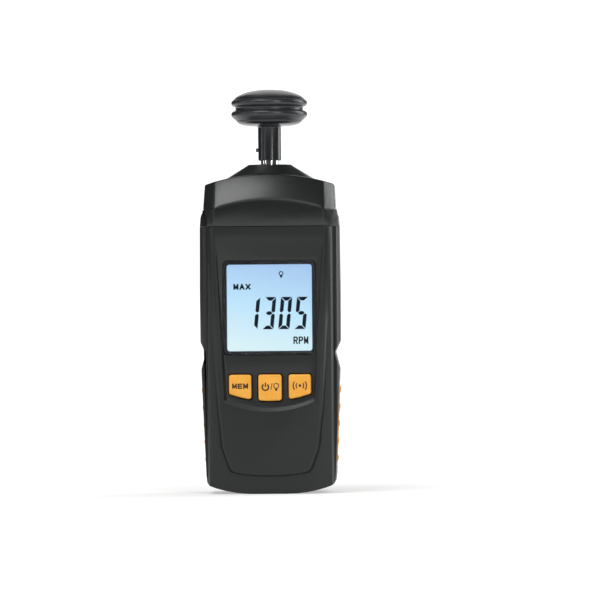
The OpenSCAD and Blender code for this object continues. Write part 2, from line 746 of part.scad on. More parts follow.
// Fork with an arm over and an arm under the disc's edge, standing on the sensor board
fork_w = 5;
fork_arm = 1.6;
fork_gap = 1.4;
fork_in = 3.6;
fork_back = 3;
module photo_interrupter() {
    low = sensor_z + board_t;
    mid = disc_z + disc_t / 2;
    color("#101112") difference() {
        translate([-fork_w / 2, disc_r - fork_in, low])
            cube([fork_w, fork_in + fork_back, mid + fork_gap / 2 + fork_arm - low]);
        translate([-fork_w, disc_r - fork_in - cut, mid - fork_gap / 2])
            cube([fork_w * 2, fork_in + cut + play, fork_gap]);
    }
}
sensor_out = 1;
sensor_w = flange_w + sensor_out * 2;
sensor_front = board_back_y + wall;
sensor_back = back_y - wall * 2;
module sensor_board() {
    color("#1d5c3a") difference() {
        translate([-sensor_w / 2, sensor_front, sensor_z]) cube([sensor_w, sensor_back - sensor_front, board_t]);
        for (side = [-1, 1]) translate([side * leg_x, 0, sensor_z - cut]) cylinder(h = board_t + cut * 2, r = screw_r);
    }
}

// Pan-head screw standing head down, from under its head to its tip
module screw_up(len) {
    difference() {
        union() {
            translate([0, 0, -screw_head_t]) cylinder(h = screw_head_t, r = screw_head_r);
            cylinder(h = len, r = screw_r);
        }
        for (a = [0, 90]) rotate([0, 0, a]) translate([-screw_head_r * 0.6, -screw_r / 4, -screw_head_t - cut])
            cube([screw_head_r * 1.2, screw_r / 2, cut + screw_head_t / 2]);
    }
}
module sensor_board_screws() {
    color("#aeb1b5") for (side = [-1, 1]) translate([side * leg_x, 0, sensor_z]) screw_up(board_t * 3);
}
module bearing_block_screws() {
    color("#aeb1b5") for (p = block_screw_at) translate([p.x, p.y, flange_z]) screw_up(flange_t + wall / 2);
}
module board_screws() {
    color("#aeb1b5") for (p = board_screw_at) translate([p.x, board_back_y, p.y]) rotate([90, 0, 0])
        screw_up(board_t + board_boss_r * 2);
}
module housing_screws() {
    color("#8f9296") for (p = housing_screw_at) translate([p.x, screw_pocket_y - screw_head_t, p.y])
        rotate([90, 0, 0]) screw_up(screw_pocket_y - screw_head_t - base_y - wall * 3);
}

// Wheel adapter: a sleeve with a blind bore and an open slot for the drive pin
wheel_z = sleeve_z + sleeve_len;
flare_out = 0.5;
flare_r = sleeve_d / 2 + flare_out;
slot_clear = 0.15;
module wheel_adapter() {
    color("#17191b") difference() {
        rotate_extrude() polygon(rounded([[0, sleeve_z, 0], [sleeve_d / 2, sleeve_z, chamfer / 2],
            [sleeve_d / 2, wheel_z - flare_out, 0], [flare_r, wheel_z, 0], [flare_r, wheel_z + wall, 0],
            [0, wheel_z + wall, 0]]));
        translate([0, 0, sleeve_z - cut]) cylinder(h = cut + shaft_in_sleeve + play, r = shaft_d / 2 + running);
        translate([-sleeve_d, -pin_d / 2 - slot_clear, sleeve_z - cut])
            cube([sleeve_d, pin_d + slot_clear * 2, cut + pin_z - sleeve_z]);
        translate([-sleeve_d, 0, pin_z]) rotate([0, 90, 0]) cylinder(h = sleeve_d, r = pin_d / 2 + slot_clear);
    }
}

// Wheel heights above the lowest edge of its bowl-shaped underside
rim_d = 27.2;
rim_t = 0.8;
bowl_h = 2.3;
low_rib_h = 4.9;
groove_h = 7.3;
top_rib_h = 9.65;
rim_h = 11.4;
rib_r = 1.5;
core_in = 3.9;
core_r = wheel_d / 2 - core_in;
dome_in = 1.3;
dome_r = wheel_d / 2 - dome_in;
bowl_ball_r = (pow(rim_d / 2, 2) - pow(flare_r, 2)) / (2 * bowl_h);
module wheel_core() {
    color("#1b1d20") translate([0, 0, wheel_z]) rotate_extrude() intersection() {
        polygon([[0, wall], [flare_r, wall], [flare_r, 0], [rim_d / 2, 0], [rim_d / 2, bowl_h + rim_t],
            [core_r, bowl_h + rim_t], [core_r, rim_h], [0, rim_h]]);
        translate([0, bowl_ball_r - pow(flare_r, 2) / (2 * bowl_ball_r)]) circle(r = bowl_ball_r, $fn = 96);
    }
}
module wheel_tyre() {
    color("#2c2e31") translate([0, 0, wheel_z]) rotate_extrude() difference() {
        union() {
            polygon([[core_r, bowl_h + rim_t], [rim_d / 2, bowl_h + rim_t], [rim_d / 2, bowl_h],
                [wheel_d / 2 - rib_r / 2, low_rib_h - rib_r * 0.9], [wheel_d / 2 - rib_r, top_rib_h],
                [dome_r, rim_h], [core_r, rim_h]]);
            translate([wheel_d / 2 - rib_r, low_rib_h]) circle(r = rib_r);
            translate([wheel_d / 2 - rib_r, top_rib_h]) circle(r = rib_r);
        }
        translate([wheel_d / 2, groove_h]) circle(r = (wheel_d - groove_d) / 2 * 0.6);
        translate([groove_d / 2, groove_h - rib_r * 0.55]) square([wheel_d, rib_r * 1.1]);
    }
}
module wheel_cap() {
    cap_ball_r = (pow(dome_r, 2) + pow(dome_h, 2)) / (2 * dome_h);
    color("#212427") rotate_extrude() intersection() {
        translate([0, wheel_z + rim_h + dome_h - cap_ball_r]) circle(r = cap_ball_r, $fn = 96);
        translate([0, wheel_z + rim_h]) square([dome_r, dome_h + cut]);
    }
}

// Screen stack from the clear window back to the main board
module lcd_window() {
    color("#9fb7c4", 0.4) plate(stack_w, stack_h, wall - slip, screen_z, recess_y, recess_y + window_t);
}
glass_t = 2.2;
glass_y = skin_y + play;
panel_t = 1.9;
panel_y = board_y - play - panel_t;
zebra_h = 1.6;
module lcd_frame() {
    color("#d8dadb") difference() {
        plate(frame_w, frame_h, frame_wall, screen_z, skin_y, board_y);
        plate(stack_w + slip * 2, stack_h + slip * 2, slip, screen_z, skin_y - cut, board_y + cut);
    }
}
module lcd_glass() {
    color("#bfd9ea") plate(stack_w, stack_h, slip, screen_z, glass_y, glass_y + glass_t);
}
module backlight_panel() {
    color("#eaf4fb") plate(stack_w, stack_h - (zebra_h + slip) * 2, slip, screen_z, panel_y, panel_y + panel_t);
}
module zebra_strips() {
    color("#3c3f43") for (side = [-1, 1])
        plate(stack_w - frame_wall * 2, zebra_h, slip, screen_z + side * (stack_h - zebra_h) / 2, glass_y + glass_t, board_y);
}

module main_board() {
    color("#1f6b43") difference() {
        translate([0, 0, board_low_z]) slab([[-board_w / 2, 0], [board_w / 2, 0], [board_w / 2, board_top_z - board_low_z],
            [-board_w / 2, board_top_z - board_low_z]], board_y, board_back_y);
        for (p = board_screw_at) bar_y(p.x, p.y, screw_r, board_y - cut, board_back_y + cut);
    }
}
chip_w = 12;
chip_t = 1.5;
module controller_chip() {
    color("#141516") plate(chip_w, chip_w, slip, screen_z + chip_w / 4, board_back_y, board_back_y + chip_t);
}

// Key: bevelled cap through the housing, with a flange behind it that keeps it in
key_face_y = front_y + 0.1;
key_bevel = 0.4;
key_flange_t = 0.8;
flange_y = skin_y + play;
switch_w = 6;
switch_t = 3;
plunger_r = 1.75;
plunger_len = 2;
plunger_end_y = flange_y + key_flange_t + plunger_len;
module key(i) {
    color("#f0a020") union() {
        loft(key_points(i, -key_bevel), key_face_y, key_points(i, 0), key_face_y + key_bevel);
        slab(key_points(i, 0), key_face_y + key_bevel, flange_y + key_flange_t / 2);
        slab(key_points(i, key_gap + key_flange), flange_y, flange_y + key_flange_t);
    }
}
function key_z(i) = (key_top_z + key_low(key_xs[i])) / 2;
module memory_key() key(0);
module power_key() key(1);
module measure_key() key(2);

module plunger(i) {
    color("#2a2a2c") bar_y(key_xs[i], key_z(i), plunger_r, flange_y + key_flange_t, plunger_end_y);
}
module memory_plunger() plunger(0);
module power_plunger() plunger(1);
module measure_plunger() plunger(2);

module tact_switches() {
    color("#35373a") for (i = [0:2]) difference() {
        translate([key_xs[i], 0, 0]) plate(switch_w, switch_w, switch_t / 6, key_z(i), board_y - switch_t, board_y);
        bar_y(key_xs[i], key_z(i), plunger_r + play, board_y - switch_t - cut, plunger_end_y + key_travel + play);
    }
}

// Cells stand side by side, the middle one upside down
nub_r = 2.75;
nub_h = 1;
cell_turns = [0, 180, 0];
cell_xs = [-cell_pitch, 0, cell_pitch];
cell_low_z = bay_low_z + contact_t;
module at_cells() {
    for (i = [0:2]) translate([cell_xs[i], cell_y, cell_low_z + (cell_len + spring_h) / 2])
        rotate([cell_turns[i], 0, 0]) translate([0, 0, -(cell_len + spring_h) / 2]) children();
}
module battery_cells() {
    color("#3f6fa8") at_cells() union() {
        translate([0, 0, spring_h]) cylinder(h = cell_len - nub_h, r = cell_d / 2);
        translate([0, 0, spring_h]) cylinder(h = cell_len, r = nub_r);
    }
}

// Conical contact spring swept along its helix
spring_turns = 3.5;
spring_low_r = 3.6;
spring_top_r = 2.2;
spring_wire_r = 0.3;
spring_steps = 42;
spring_sides = 6;
function helix(i) = let (f = i / spring_steps, r = spring_low_r + (spring_top_r - spring_low_r) * f,
    a = 360 * spring_turns * f) [r * cos(a), r * sin(a), spring_wire_r + (spring_h - spring_wire_r * 2) * f];
function wire_ring(i) = let (f = i / spring_steps, a = 360 * spring_turns * f, c = helix(i))
    [for (j = [0:spring_sides - 1]) let (b = 360 * j / spring_sides)
        c + spring_wire_r * [cos(b) * cos(a), cos(b) * sin(a), sin(b)]];
module contact_spring() {
    n = spring_sides;
    points = [for (i = [0:spring_steps]) each wire_ring(i)];
    sides = [for (i = [0:spring_steps - 1], j = [0:n - 1]) let (a = i * n + j, b = i * n + (j + 1) % n)
        each [[a, b, a + n], [b, b + n, a + n]]];
    polyhedron(points, concat([[for (j = [n - 1:-1:0]) j]], [[for (j = [0:n - 1]) spring_steps * n + j]], sides));
}
module battery_springs() {
    color("#c7cacd") at_cells() contact_spring();
}
contact_w = 8;
module battery_contacts() {
    color("#c2b58a") for (x = cell_xs, z = [bay_low_z, bay_low_z + bay_len - contact_t])
        translate([x - contact_w / 2, cell_y - contact_w / 2, z]) cube([contact_w, contact_w, contact_t]);
}

module side_grip(side) {
    pitch = (grip_top_z - grip_low_z) / grip_bumps;
    color("#f0a020") union() {
        intersection() {
            grip_seat(side, 0);
            body_form(0);
        }
        intersection() {
            for (i = [0:grip_bumps - 1]) let (z = grip_low_z + pitch * (i + 0.5))
                translate([side * (grip_side(z) + bump_proud - bump_r), grip_half_d, z]) rotate([90, 0, 0])
                    cylinder(h = grip_half_d * 2, r = bump_r);
            translate([side * bump_proud * 2, 0, 0]) grip_seat(side, 0);
        }
    }
}
module side_grip_left() side_grip(-1);
module side_grip_right() side_grip(1);

front_housing();
rear_housing();
head_cap();
nose_cone();
side_grip_left();
side_grip_right();
lcd_window();
lcd_frame();
lcd_glass();
backlight_panel();
zebra_strips();
main_board();
controller_chip();
memory_key();
power_key();
measure_key();
memory_plunger();
power_plunger();
measure_plunger();
tact_switches();
battery_cells();
battery_springs();
battery_contacts();
battery_door();
bearing_block();
bearing_outer_rings();
bearing_inner_rings();
bearing_balls();
shaft_seal();
drive_shaft();
drive_pin();
retaining_ring();
encoder_disc();
encoder_hub();
photo_interrupter();
sensor_board();
wheel_adapter();
wheel_core();
wheel_tyre();
wheel_cap();
housing_screws();
board_screws();
bearing_block_screws();
sensor_board_screws();
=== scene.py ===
import json
import math

import bpy
from bpy.props import FloatProperty, FloatVectorProperty, IntProperty, PointerProperty, StringProperty
from mathutils import Matrix, Vector


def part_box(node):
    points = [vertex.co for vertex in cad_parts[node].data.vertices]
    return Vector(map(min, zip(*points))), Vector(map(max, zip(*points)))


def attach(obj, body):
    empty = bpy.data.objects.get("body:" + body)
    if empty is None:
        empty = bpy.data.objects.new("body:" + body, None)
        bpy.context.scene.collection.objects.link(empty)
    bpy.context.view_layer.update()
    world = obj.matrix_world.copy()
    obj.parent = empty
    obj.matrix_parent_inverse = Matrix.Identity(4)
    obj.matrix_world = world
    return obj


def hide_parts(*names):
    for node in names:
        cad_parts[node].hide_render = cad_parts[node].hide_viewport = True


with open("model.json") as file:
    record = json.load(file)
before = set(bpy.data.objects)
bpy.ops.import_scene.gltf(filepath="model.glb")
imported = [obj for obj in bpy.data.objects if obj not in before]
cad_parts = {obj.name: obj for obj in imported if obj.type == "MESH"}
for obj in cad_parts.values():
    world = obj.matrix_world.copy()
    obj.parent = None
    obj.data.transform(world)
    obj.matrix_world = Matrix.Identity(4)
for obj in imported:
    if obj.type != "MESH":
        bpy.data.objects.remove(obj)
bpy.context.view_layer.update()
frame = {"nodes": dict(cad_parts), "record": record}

bl_info = {
    "name": "Contact tachometer",
    "version": (1, 0, 0),
    "blender": (4, 5, 0),
    "location": "View3D > Sidebar > Tachometer",
    "description": "Dresses a hand-held contact tachometer and its small studio",
    "category": "Object",
}

MM = 0.001
FAR = 1.0                       # farther out than any piece, in metres
MERGE_GAP = 0.002 * MM          # points of a CAD mesh that are nearer than this become one
FLAT_ANGLE = math.radians(0.6)  # faces of a CAD mesh that lean less than this become one
COAT_ROUGHNESS = 0.12
GRAIN_STRENGTH = 0.35


class TachoSizes(bpy.types.PropertyGroup):
    """Sizes that the finish of the meter follows"""

    shell_edge: FloatProperty(name="Shell edge", description="Rounding of the moulded shells' edges",
                              default=0.28 * MM, unit="LENGTH")
    head_edge: FloatProperty(name="Head edge", description="Rounding of the head cap's edges",
                             default=0.55 * MM, unit="LENGTH")
    key_edge: FloatProperty(name="Key edge", description="Rounding of the keys' edges",
                            default=0.22 * MM, unit="LENGTH")
    grip_edge: FloatProperty(name="Grip edge", description="Rounding of the grips' edges",
                             default=0.25 * MM, unit="LENGTH")
    sleeve_edge: FloatProperty(name="Sleeve edge", description="Rounding of the wheel sleeve's edges",
                               default=0.12 * MM, unit="LENGTH")
    nose_end: FloatProperty(name="Nose end", description="Width of the nose at the shaft",
                            default=19.2 * MM, unit="LENGTH")
    nose_squash: FloatProperty(name="Nose foot", default=0.655,
                               description="Depth of the nose's foot as a part of its width")
    brow_bevel: FloatProperty(name="Brow crease", description="Width of the soft crease below the brow",
                              default=1.3 * MM, unit="LENGTH")
    tongue_bevel: FloatProperty(name="Tongue rim", description="Width of the soft rim of the raised tongue",
                                default=0.75 * MM, unit="LENGTH")
    # Depth of the band at the back of each key that gets a painted shade for the gap round it
    key_root: FloatProperty(name="Key root", description="Depth of the keys' shaded lower rim",
                            default=1.0 * MM, unit="LENGTH")
    mark_depth: FloatProperty(name="Mark thickness", description="Thickness of printed marks",
                              default=0.03 * MM, unit="LENGTH")
    digit_height: FloatProperty(name="Digit height", description="Height of the screen's digits",
                                default=13.4 * MM, unit="LENGTH")
    digit_pitch: FloatProperty(name="Digit pitch", description="Distance between the screen's digits",
                               default=6.65 * MM, unit="LENGTH")
    digit_lean: FloatProperty(name="Digit lean", description="Slant of the screen's digits",
                              default=math.radians(5.6), subtype="ANGLE")
    reading: StringProperty(name="Reading", description="Plain number on the screen", default="1305")
    tyre_steps: IntProperty(name="Tyre steps", description="Sides round the wheel", default=160, min=48)
    photo_scale: FloatProperty(name="Photo scale", description="Size of a picture unit at the panel",
                               default=0.4145 * MM, unit="LENGTH")
    camera_away: FloatProperty(name="Camera distance", description="Camera's distance from the panel",
                               default=2.0, unit="LENGTH")


class TachoColours(bpy.types.PropertyGroup):
    """Colours of the meter's finishes"""

    shell: FloatVectorProperty(name="Shell", description="Charcoal plastic of the shells",
                               subtype="COLOR", size=3, default=(0.0105, 0.0128, 0.0122))
    shell_light: FloatVectorProperty(name="Shell, worn", description="Lighter mottling of the shells",
                                     subtype="COLOR", size=3, default=(0.0118, 0.0143, 0.0136))
    amber: FloatVectorProperty(name="Amber", description="Keys and grips",
                               subtype="COLOR", size=3, default=(0.88, 0.385, 0.040))
    amber_pale: FloatVectorProperty(name="Amber, pale", description="Paler mottling of the keys",
                                    subtype="COLOR", size=3, default=(0.93, 0.46, 0.065))
    # Painted shade: a dark red-brown that stands in for the shadow in the gap round each key
    key_root: FloatVectorProperty(name="Key root", description="Shaded rim below the keys",
                                  subtype="COLOR", size=3, default=(0.028, 0.007, 0.003))
    legend: FloatVectorProperty(name="Legend", description="Printed marks on the keys",
                                subtype="COLOR", size=3, default=(0.04, 0.015, 0.006))
    screen_top: FloatVectorProperty(name="Screen top", description="Backlight at the screen's top",
                                    subtype="COLOR", size=3, default=(0.39, 0.60, 0.90))
    screen_mid: FloatVectorProperty(name="Screen middle", description="Backlight at the screen's middle",
                                    subtype="COLOR", size=3, default=(0.53, 0.81, 1.0))
    screen_low: FloatVectorProperty(name="Screen foot", description="Backlight at the screen's foot",
                                    subtype="COLOR", size=3, default=(0.74, 0.93, 0.96))
    digit: FloatVectorProperty(name="Digit", description="Dark segments of the screen",
                               subtype="COLOR", size=3, default=(0.006, 0.014, 0.035))
    rubber: FloatVectorProperty(name="Rubber", description="Wheel's tyre",
                                subtype="COLOR", size=3, default=(0.013, 0.015, 0.017))
    steel: FloatVectorProperty(name="Steel", description="Shaft and pin",
                               subtype="COLOR", size=3, default=(0.74, 0.75, 0.76))


def deselect():
    """Leaves nothing selected"""
    bpy.ops.object.select_all(action="DESELECT")


def activate(piece):
    """Selects one piece and makes it the active one"""
    deselect()
    piece.select_set(True)
    bpy.context.view_layer.objects.active = piece


def apply_place(piece):
    """Puts the place of a piece into its mesh"""
    activate(piece)
    bpy.ops.object.transform_apply(location=True, rotation=True, scale=True)


def set_finish(piece, material):
    """Gives a piece one finish in place of those it has"""
    piece.data.materials.clear()
    piece.data.materials.append(material)


def smooth(piece, degrees=23):
    """Shades a piece smoothly, apart from edges sharper than an angle"""
    activate(piece)
    bpy.ops.object.shade_smooth_by_angle(angle=math.radians(degrees))


def add_modifier(piece, kind, **settings):
    """Adds a modifier, sets it and applies it"""
    activate(piece)
    modifier = piece.modifiers.new(kind.title(), kind)
    for key, value in settings.items():
        setattr(modifier, key, value)
    bpy.ops.object.modifier_apply(modifier=modifier.name)


def body_of_node(node):
    """Body that carries a CAD node"""
    bodies = frame["record"]["behaviour"]["bodies"]
    return next(body for body, nodes in bodies.items() if node in nodes)


def slot_of_node(node):
    """Material slot of a CAD node"""
    return next(s["material_slot"] for s in frame["record"]["subparts"] if s["node"] == node)


def stand_for(piece, node, material):
    """Finishes a piece that takes the place of a CAD node"""
    set_finish(piece, material)
    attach(piece, body_of_node(node))
    slot_of_node(node)
    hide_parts(node)


def ride_with(piece, node, material):
    """Finishes a piece that is carried by the body of a CAD node"""
    set_finish(piece, material)
    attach(piece, body_of_node(node))


def normals_by_edge(piece):
    """Normals of the faces beside each edge"""
    normals = {}
    for face in piece.data.polygons:
        for key in face.edge_keys:
            normals.setdefault(key, []).append(face.normal.copy())
    return normals


def weigh_edges(piece, angle, zones):
    """Marks the sharp edges to be rounded; zones of |x|, y and z have their own weight"""
    normals = normals_by_edge(piece)
    weights = piece.data.attributes.new("bevel_weight_edge", "FLOAT", "EDGE")
    for edge in piece.data.edges:
        beside = normals.get(edge.key, [])
        if len(beside) != 2 or beside[0].angle(beside[1], 0.0) < math.radians(angle):
            continue
        ends = [piece.data.vertices[i].co for i in edge.vertices]
        weight = 1.0
        for low, high, part in zones:
            if all(low[i] < (abs(end.x), end.y, end.z)[i] < high[i] for end in ends for i in range(3)):
                weight = part
        weights.data[edge.index].value = weight


def faces_front(normals):
    """Whether one of the faces beside an edge looks straight to the front"""
    return min(normal.y for normal in normals) < -0.99


def brow_crease():
    """Test for the crease between the head's upright front and its brow, short of the cheeks"""
    reach = 0.78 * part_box("head_cap")[1].x
    forward, least_up, most_up = -0.7, 0.35, 0.7

    def chosen(ends, normals):
        return (faces_front(normals) and max(abs(v.x) for v in ends) < reach
                and any(n.y < forward and least_up < n.z < most_up for n in normals))
    return chosen


def tongue_rim():
    """Test for the rim between the raised tongue's face and its flanks, not for its recesses' edges"""
    low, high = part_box("front_housing")
    middle = Vector((0, low.y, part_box("power_key")[1].z))
    top, near, flank = high.z - 4 * MM, 0.05 * MM, -0.7

    def chosen(ends, normals):
        outward = (ends[0] + ends[1]) / 2 - middle
        return (faces_front(normals) and max(abs(v.y - low.y) for v in ends) < near
                and max(v.z for v in ends) < top
                and any(n.y > flank and n.dot(outward) > 0 for n in normals))
    return chosen


SOFT_EDGES = {"head_cap": brow_crease, "front_housing": tongue_rim}


def soften(piece, width, chosen):
    """Rounds the edges of a piece that its test chooses, ahead of the finer rounding"""
    normals = normals_by_edge(piece)
    bpy.ops.object.mode_set(mode="EDIT")
    bpy.ops.mesh.select_mode(type="EDGE")
    bpy.ops.mesh.select_all(action="DESELECT")
    bpy.ops.object.mode_set(mode="OBJECT")
    for edge in piece.data.edges:
        beside = normals.get(edge.key, [])
        ends = [piece.data.vertices[i].co for i in edge.vertices]
        edge.select = len(beside) == 2 and chosen(ends, beside)
    bpy.ops.object.mode_set(mode="EDIT")
    bpy.ops.mesh.bevel(offset=width, segments=7, affect="EDGES")
    bpy.ops.object.mode_set(mode="OBJECT")


def rounded_copy(node, name, width, segments=2, angle=18, soft=0.0, zones=()):
    """Copy of a CAD node whose flat faces are whole and whose edges are rounded"""
    piece = bpy.data.objects.new(name, frame["nodes"][node].data.copy())
    bpy.context.scene.collection.objects.link(piece)
    activate(piece)
    bpy.ops.object.mode_set(mode="EDIT")
    bpy.ops.mesh.select_all(action="SELECT")
    bpy.ops.mesh.remove_doubles(threshold=MERGE_GAP)
    bpy.ops.mesh.dissolve_limited(angle_limit=FLAT_ANGLE)
    bpy.ops.object.mode_set(mode="OBJECT")
    if soft:
        soften(piece, soft, SOFT_EDGES[node]())
    weigh_edges(piece, angle, zones)
    add_modifier(piece, "BEVEL", width=width, segments=segments, limit_method="WEIGHT",
                 use_clamp_overlap=False, miter_outer="MITER_ARC", harden_normals=False)
    smooth(piece)
    return piece


def turned(name, profile, steps, closed=False):
    """Surface turned about Z: a circle is extruded and resized along a profile of radius and height.
    A closed profile ends where it starts; the ends of any other are filled."""
    deselect()
    radius, height = profile[0]
    bpy.ops.mesh.primitive_circle_add(vertices=steps, radius=radius, location=(0, 0, height))
    piece = bpy.context.active_object
    piece.name = name
    apply_place(piece)
    bpy.ops.object.mode_set(mode="EDIT")
    bpy.ops.mesh.select_all(action="SELECT")
    for r, z in profile[1:]:
        bpy.ops.mesh.extrude_region_move(TRANSFORM_OT_translate={"value": (0, 0, z - height)})
        bpy.ops.transform.resize(value=(r / radius, r / radius, 1), center_override=(0, 0, z))
        radius, height = r, z
    if closed:
        bpy.ops.mesh.select_all(action="SELECT")
        bpy.ops.mesh.remove_doubles(threshold=MERGE_GAP / 2)
    else:
        bpy.ops.mesh.edge_face_add()
        bpy.ops.mesh.select_all(action="DESELECT")
        bpy.ops.object.mode_set(mode="OBJECT")
        for v in piece.data.vertices[:steps]:
            v.select = True
        bpy.ops.object.mode_set(mode="EDIT")
        bpy.ops.mesh.select_mode(type="VERT")
        bpy.ops.mesh.edge_face_add()
    bpy.ops.mesh.select_all(action="SELECT")
    bpy.ops.mesh.normals_make_consistent(inside=False)
    bpy.ops.object.mode_set(mode="OBJECT")
    smooth(piece, 32)
    return piece


def arc(centre, radius, start, end, count):
    """Profile points of an arc, as radius and height"""
    turns = [math.radians(start + (end - start) * i / count) for i in range(count + 1)]
    return [(centre[0] + radius * math.cos(t), centre[1] + radius * math.sin(t)) for t in turns]


def new_material(name):
    """New material with its nodes, its links and its shader"""
    material = bpy.data.materials.new(name)
    material.use_nodes = True
    nodes, links = material.node_tree.nodes, material.node_tree.links
    return material, nodes, links, nodes["Principled BSDF"]


def noise(nodes, links, coords, scale, detail=4.0, rough=0.55):
    """Cloudy pattern of values round a half"""
    texture = nodes.new("ShaderNodeTexNoise")
    texture.inputs["Scale"].default_value = scale
    texture.inputs["Detail"].default_value = detail
    texture.inputs["Roughness"].default_value = rough
    links.new(coords, texture.inputs["Vector"])
    return texture.outputs["Fac"]


def spread(nodes, links, source, low, high, from_low=0.3, from_high=0.7):
    """Moves a value from one range to another and holds it there"""
    step = nodes.new("ShaderNodeMapRange")
    step.inputs["From Min"].default_value = from_low
    step.inputs["From Max"].default_value = from_high
    step.inputs["To Min"].default_value = low
    step.inputs["To Max"].default_value = high
    links.new(source, step.inputs["Value"])
    return step.outputs["Result"]


def two_tone(nodes, links, factor, first, second):
    """Mix of two colours"""
    mix = nodes.new("ShaderNodeMix")
    mix.data_type = "RGBA"
    mix.inputs["A"].default_value = (*first, 1)
    mix.inputs["B"].default_value = (*second, 1)
    links.new(factor, mix.inputs["Factor"])
    return mix.outputs["Result"]


def moulded(name, colour, second, rough, grain=9000, depth=0.02, patch=60, metal=0.0, coat=0.0,
            specular=0.5, uneven=0.012):
    """Moulded or turned surface: mottled colour, uneven gloss and a fine grain"""
    material, nodes, links, shader = new_material(name)
    coords = nodes.new("ShaderNodeTexCoord").outputs["Object"]
    patches = noise(nodes, links, coords, patch)
    mottled = two_tone(nodes, links, spread(nodes, links, patches, 0, 1), colour, second)
    links.new(mottled, shader.inputs["Base Color"])
    links.new(spread(nodes, links, patches, rough - uneven, rough + uneven), shader.inputs["Roughness"])
    shader.inputs["Metallic"].default_value = metal
    shader.inputs["Coat Weight"].default_value = coat
    shader.inputs["Coat Roughness"].default_value = COAT_ROUGHNESS
    shader.inputs["Specular IOR Level"].default_value = specular
    fine = noise(nodes, links, coords, grain, 2.0)
    bump = nodes.new("ShaderNodeBump")
    bump.inputs["Strength"].default_value = GRAIN_STRENGTH
    bump.inputs["Distance"].default_value = depth * MM
    links.new(fine, bump.inputs["Height"])
    links.new(bump.outputs["Normal"], shader.inputs["Normal"])
    return material


def clear(name, colour, rough=0.02, smear=0.03, bend=1.45, specular=0.1):
    """Clear window with a faint smear in its gloss"""
    material, nodes, links, shader = new_material(name)
    coords = nodes.new("ShaderNodeTexCoord").outputs["Object"]
    shader.inputs["Base Color"].default_value = (*colour, 1)
    shader.inputs["Transmission Weight"].default_value = 1.0
    shader.inputs["IOR"].default_value = bend
    shader.inputs["Specular IOR Level"].default_value = specular
    patches = noise(nodes, links, coords, 180)
    links.new(spread(nodes, links, patches, rough, rough + smear), shader.inputs["Roughness"])
    return material


def backlit(name, low_z, high_z, low, mid, high, side_shift=5.0):
    """Lit screen whose colour runs from its foot to its top, and shifts a little from left to right"""
    material, nodes, links, shader = new_material(name)
    coords = nodes.new("ShaderNodeTexCoord").outputs["Object"]
    split = nodes.new("ShaderNodeSeparateXYZ")
    links.new(coords, split.inputs["Vector"])
    ramp = nodes.new("ShaderNodeValToRGB")
    ramp.color_ramp.elements[0].color = (*low, 1)
    ramp.color_ramp.elements[1].color = (*high, 1)
    ramp.color_ramp.elements.new(0.5).color = (*mid, 1)
    glow = nodes.new("ShaderNodeMath")
    glow.operation = "MULTIPLY_ADD"
    glow.inputs[1].default_value = side_shift
    links.new(split.outputs["X"], glow.inputs[0])
    links.new(spread(nodes, links, split.outputs["Z"], 0, 1, low_z, high_z), glow.inputs[2])
    links.new(glow.outputs["Value"], ramp.inputs["Fac"])
    shader.inputs["Base Color"].default_value = (0.02, 0.02, 0.02, 1)
    shader.inputs["Roughness"].default_value = 0.4
    links.new(ramp.outputs["Color"], shader.inputs["Emission Color"])
    shader.inputs["Emission Strength"].default_value = 1.0
    return material


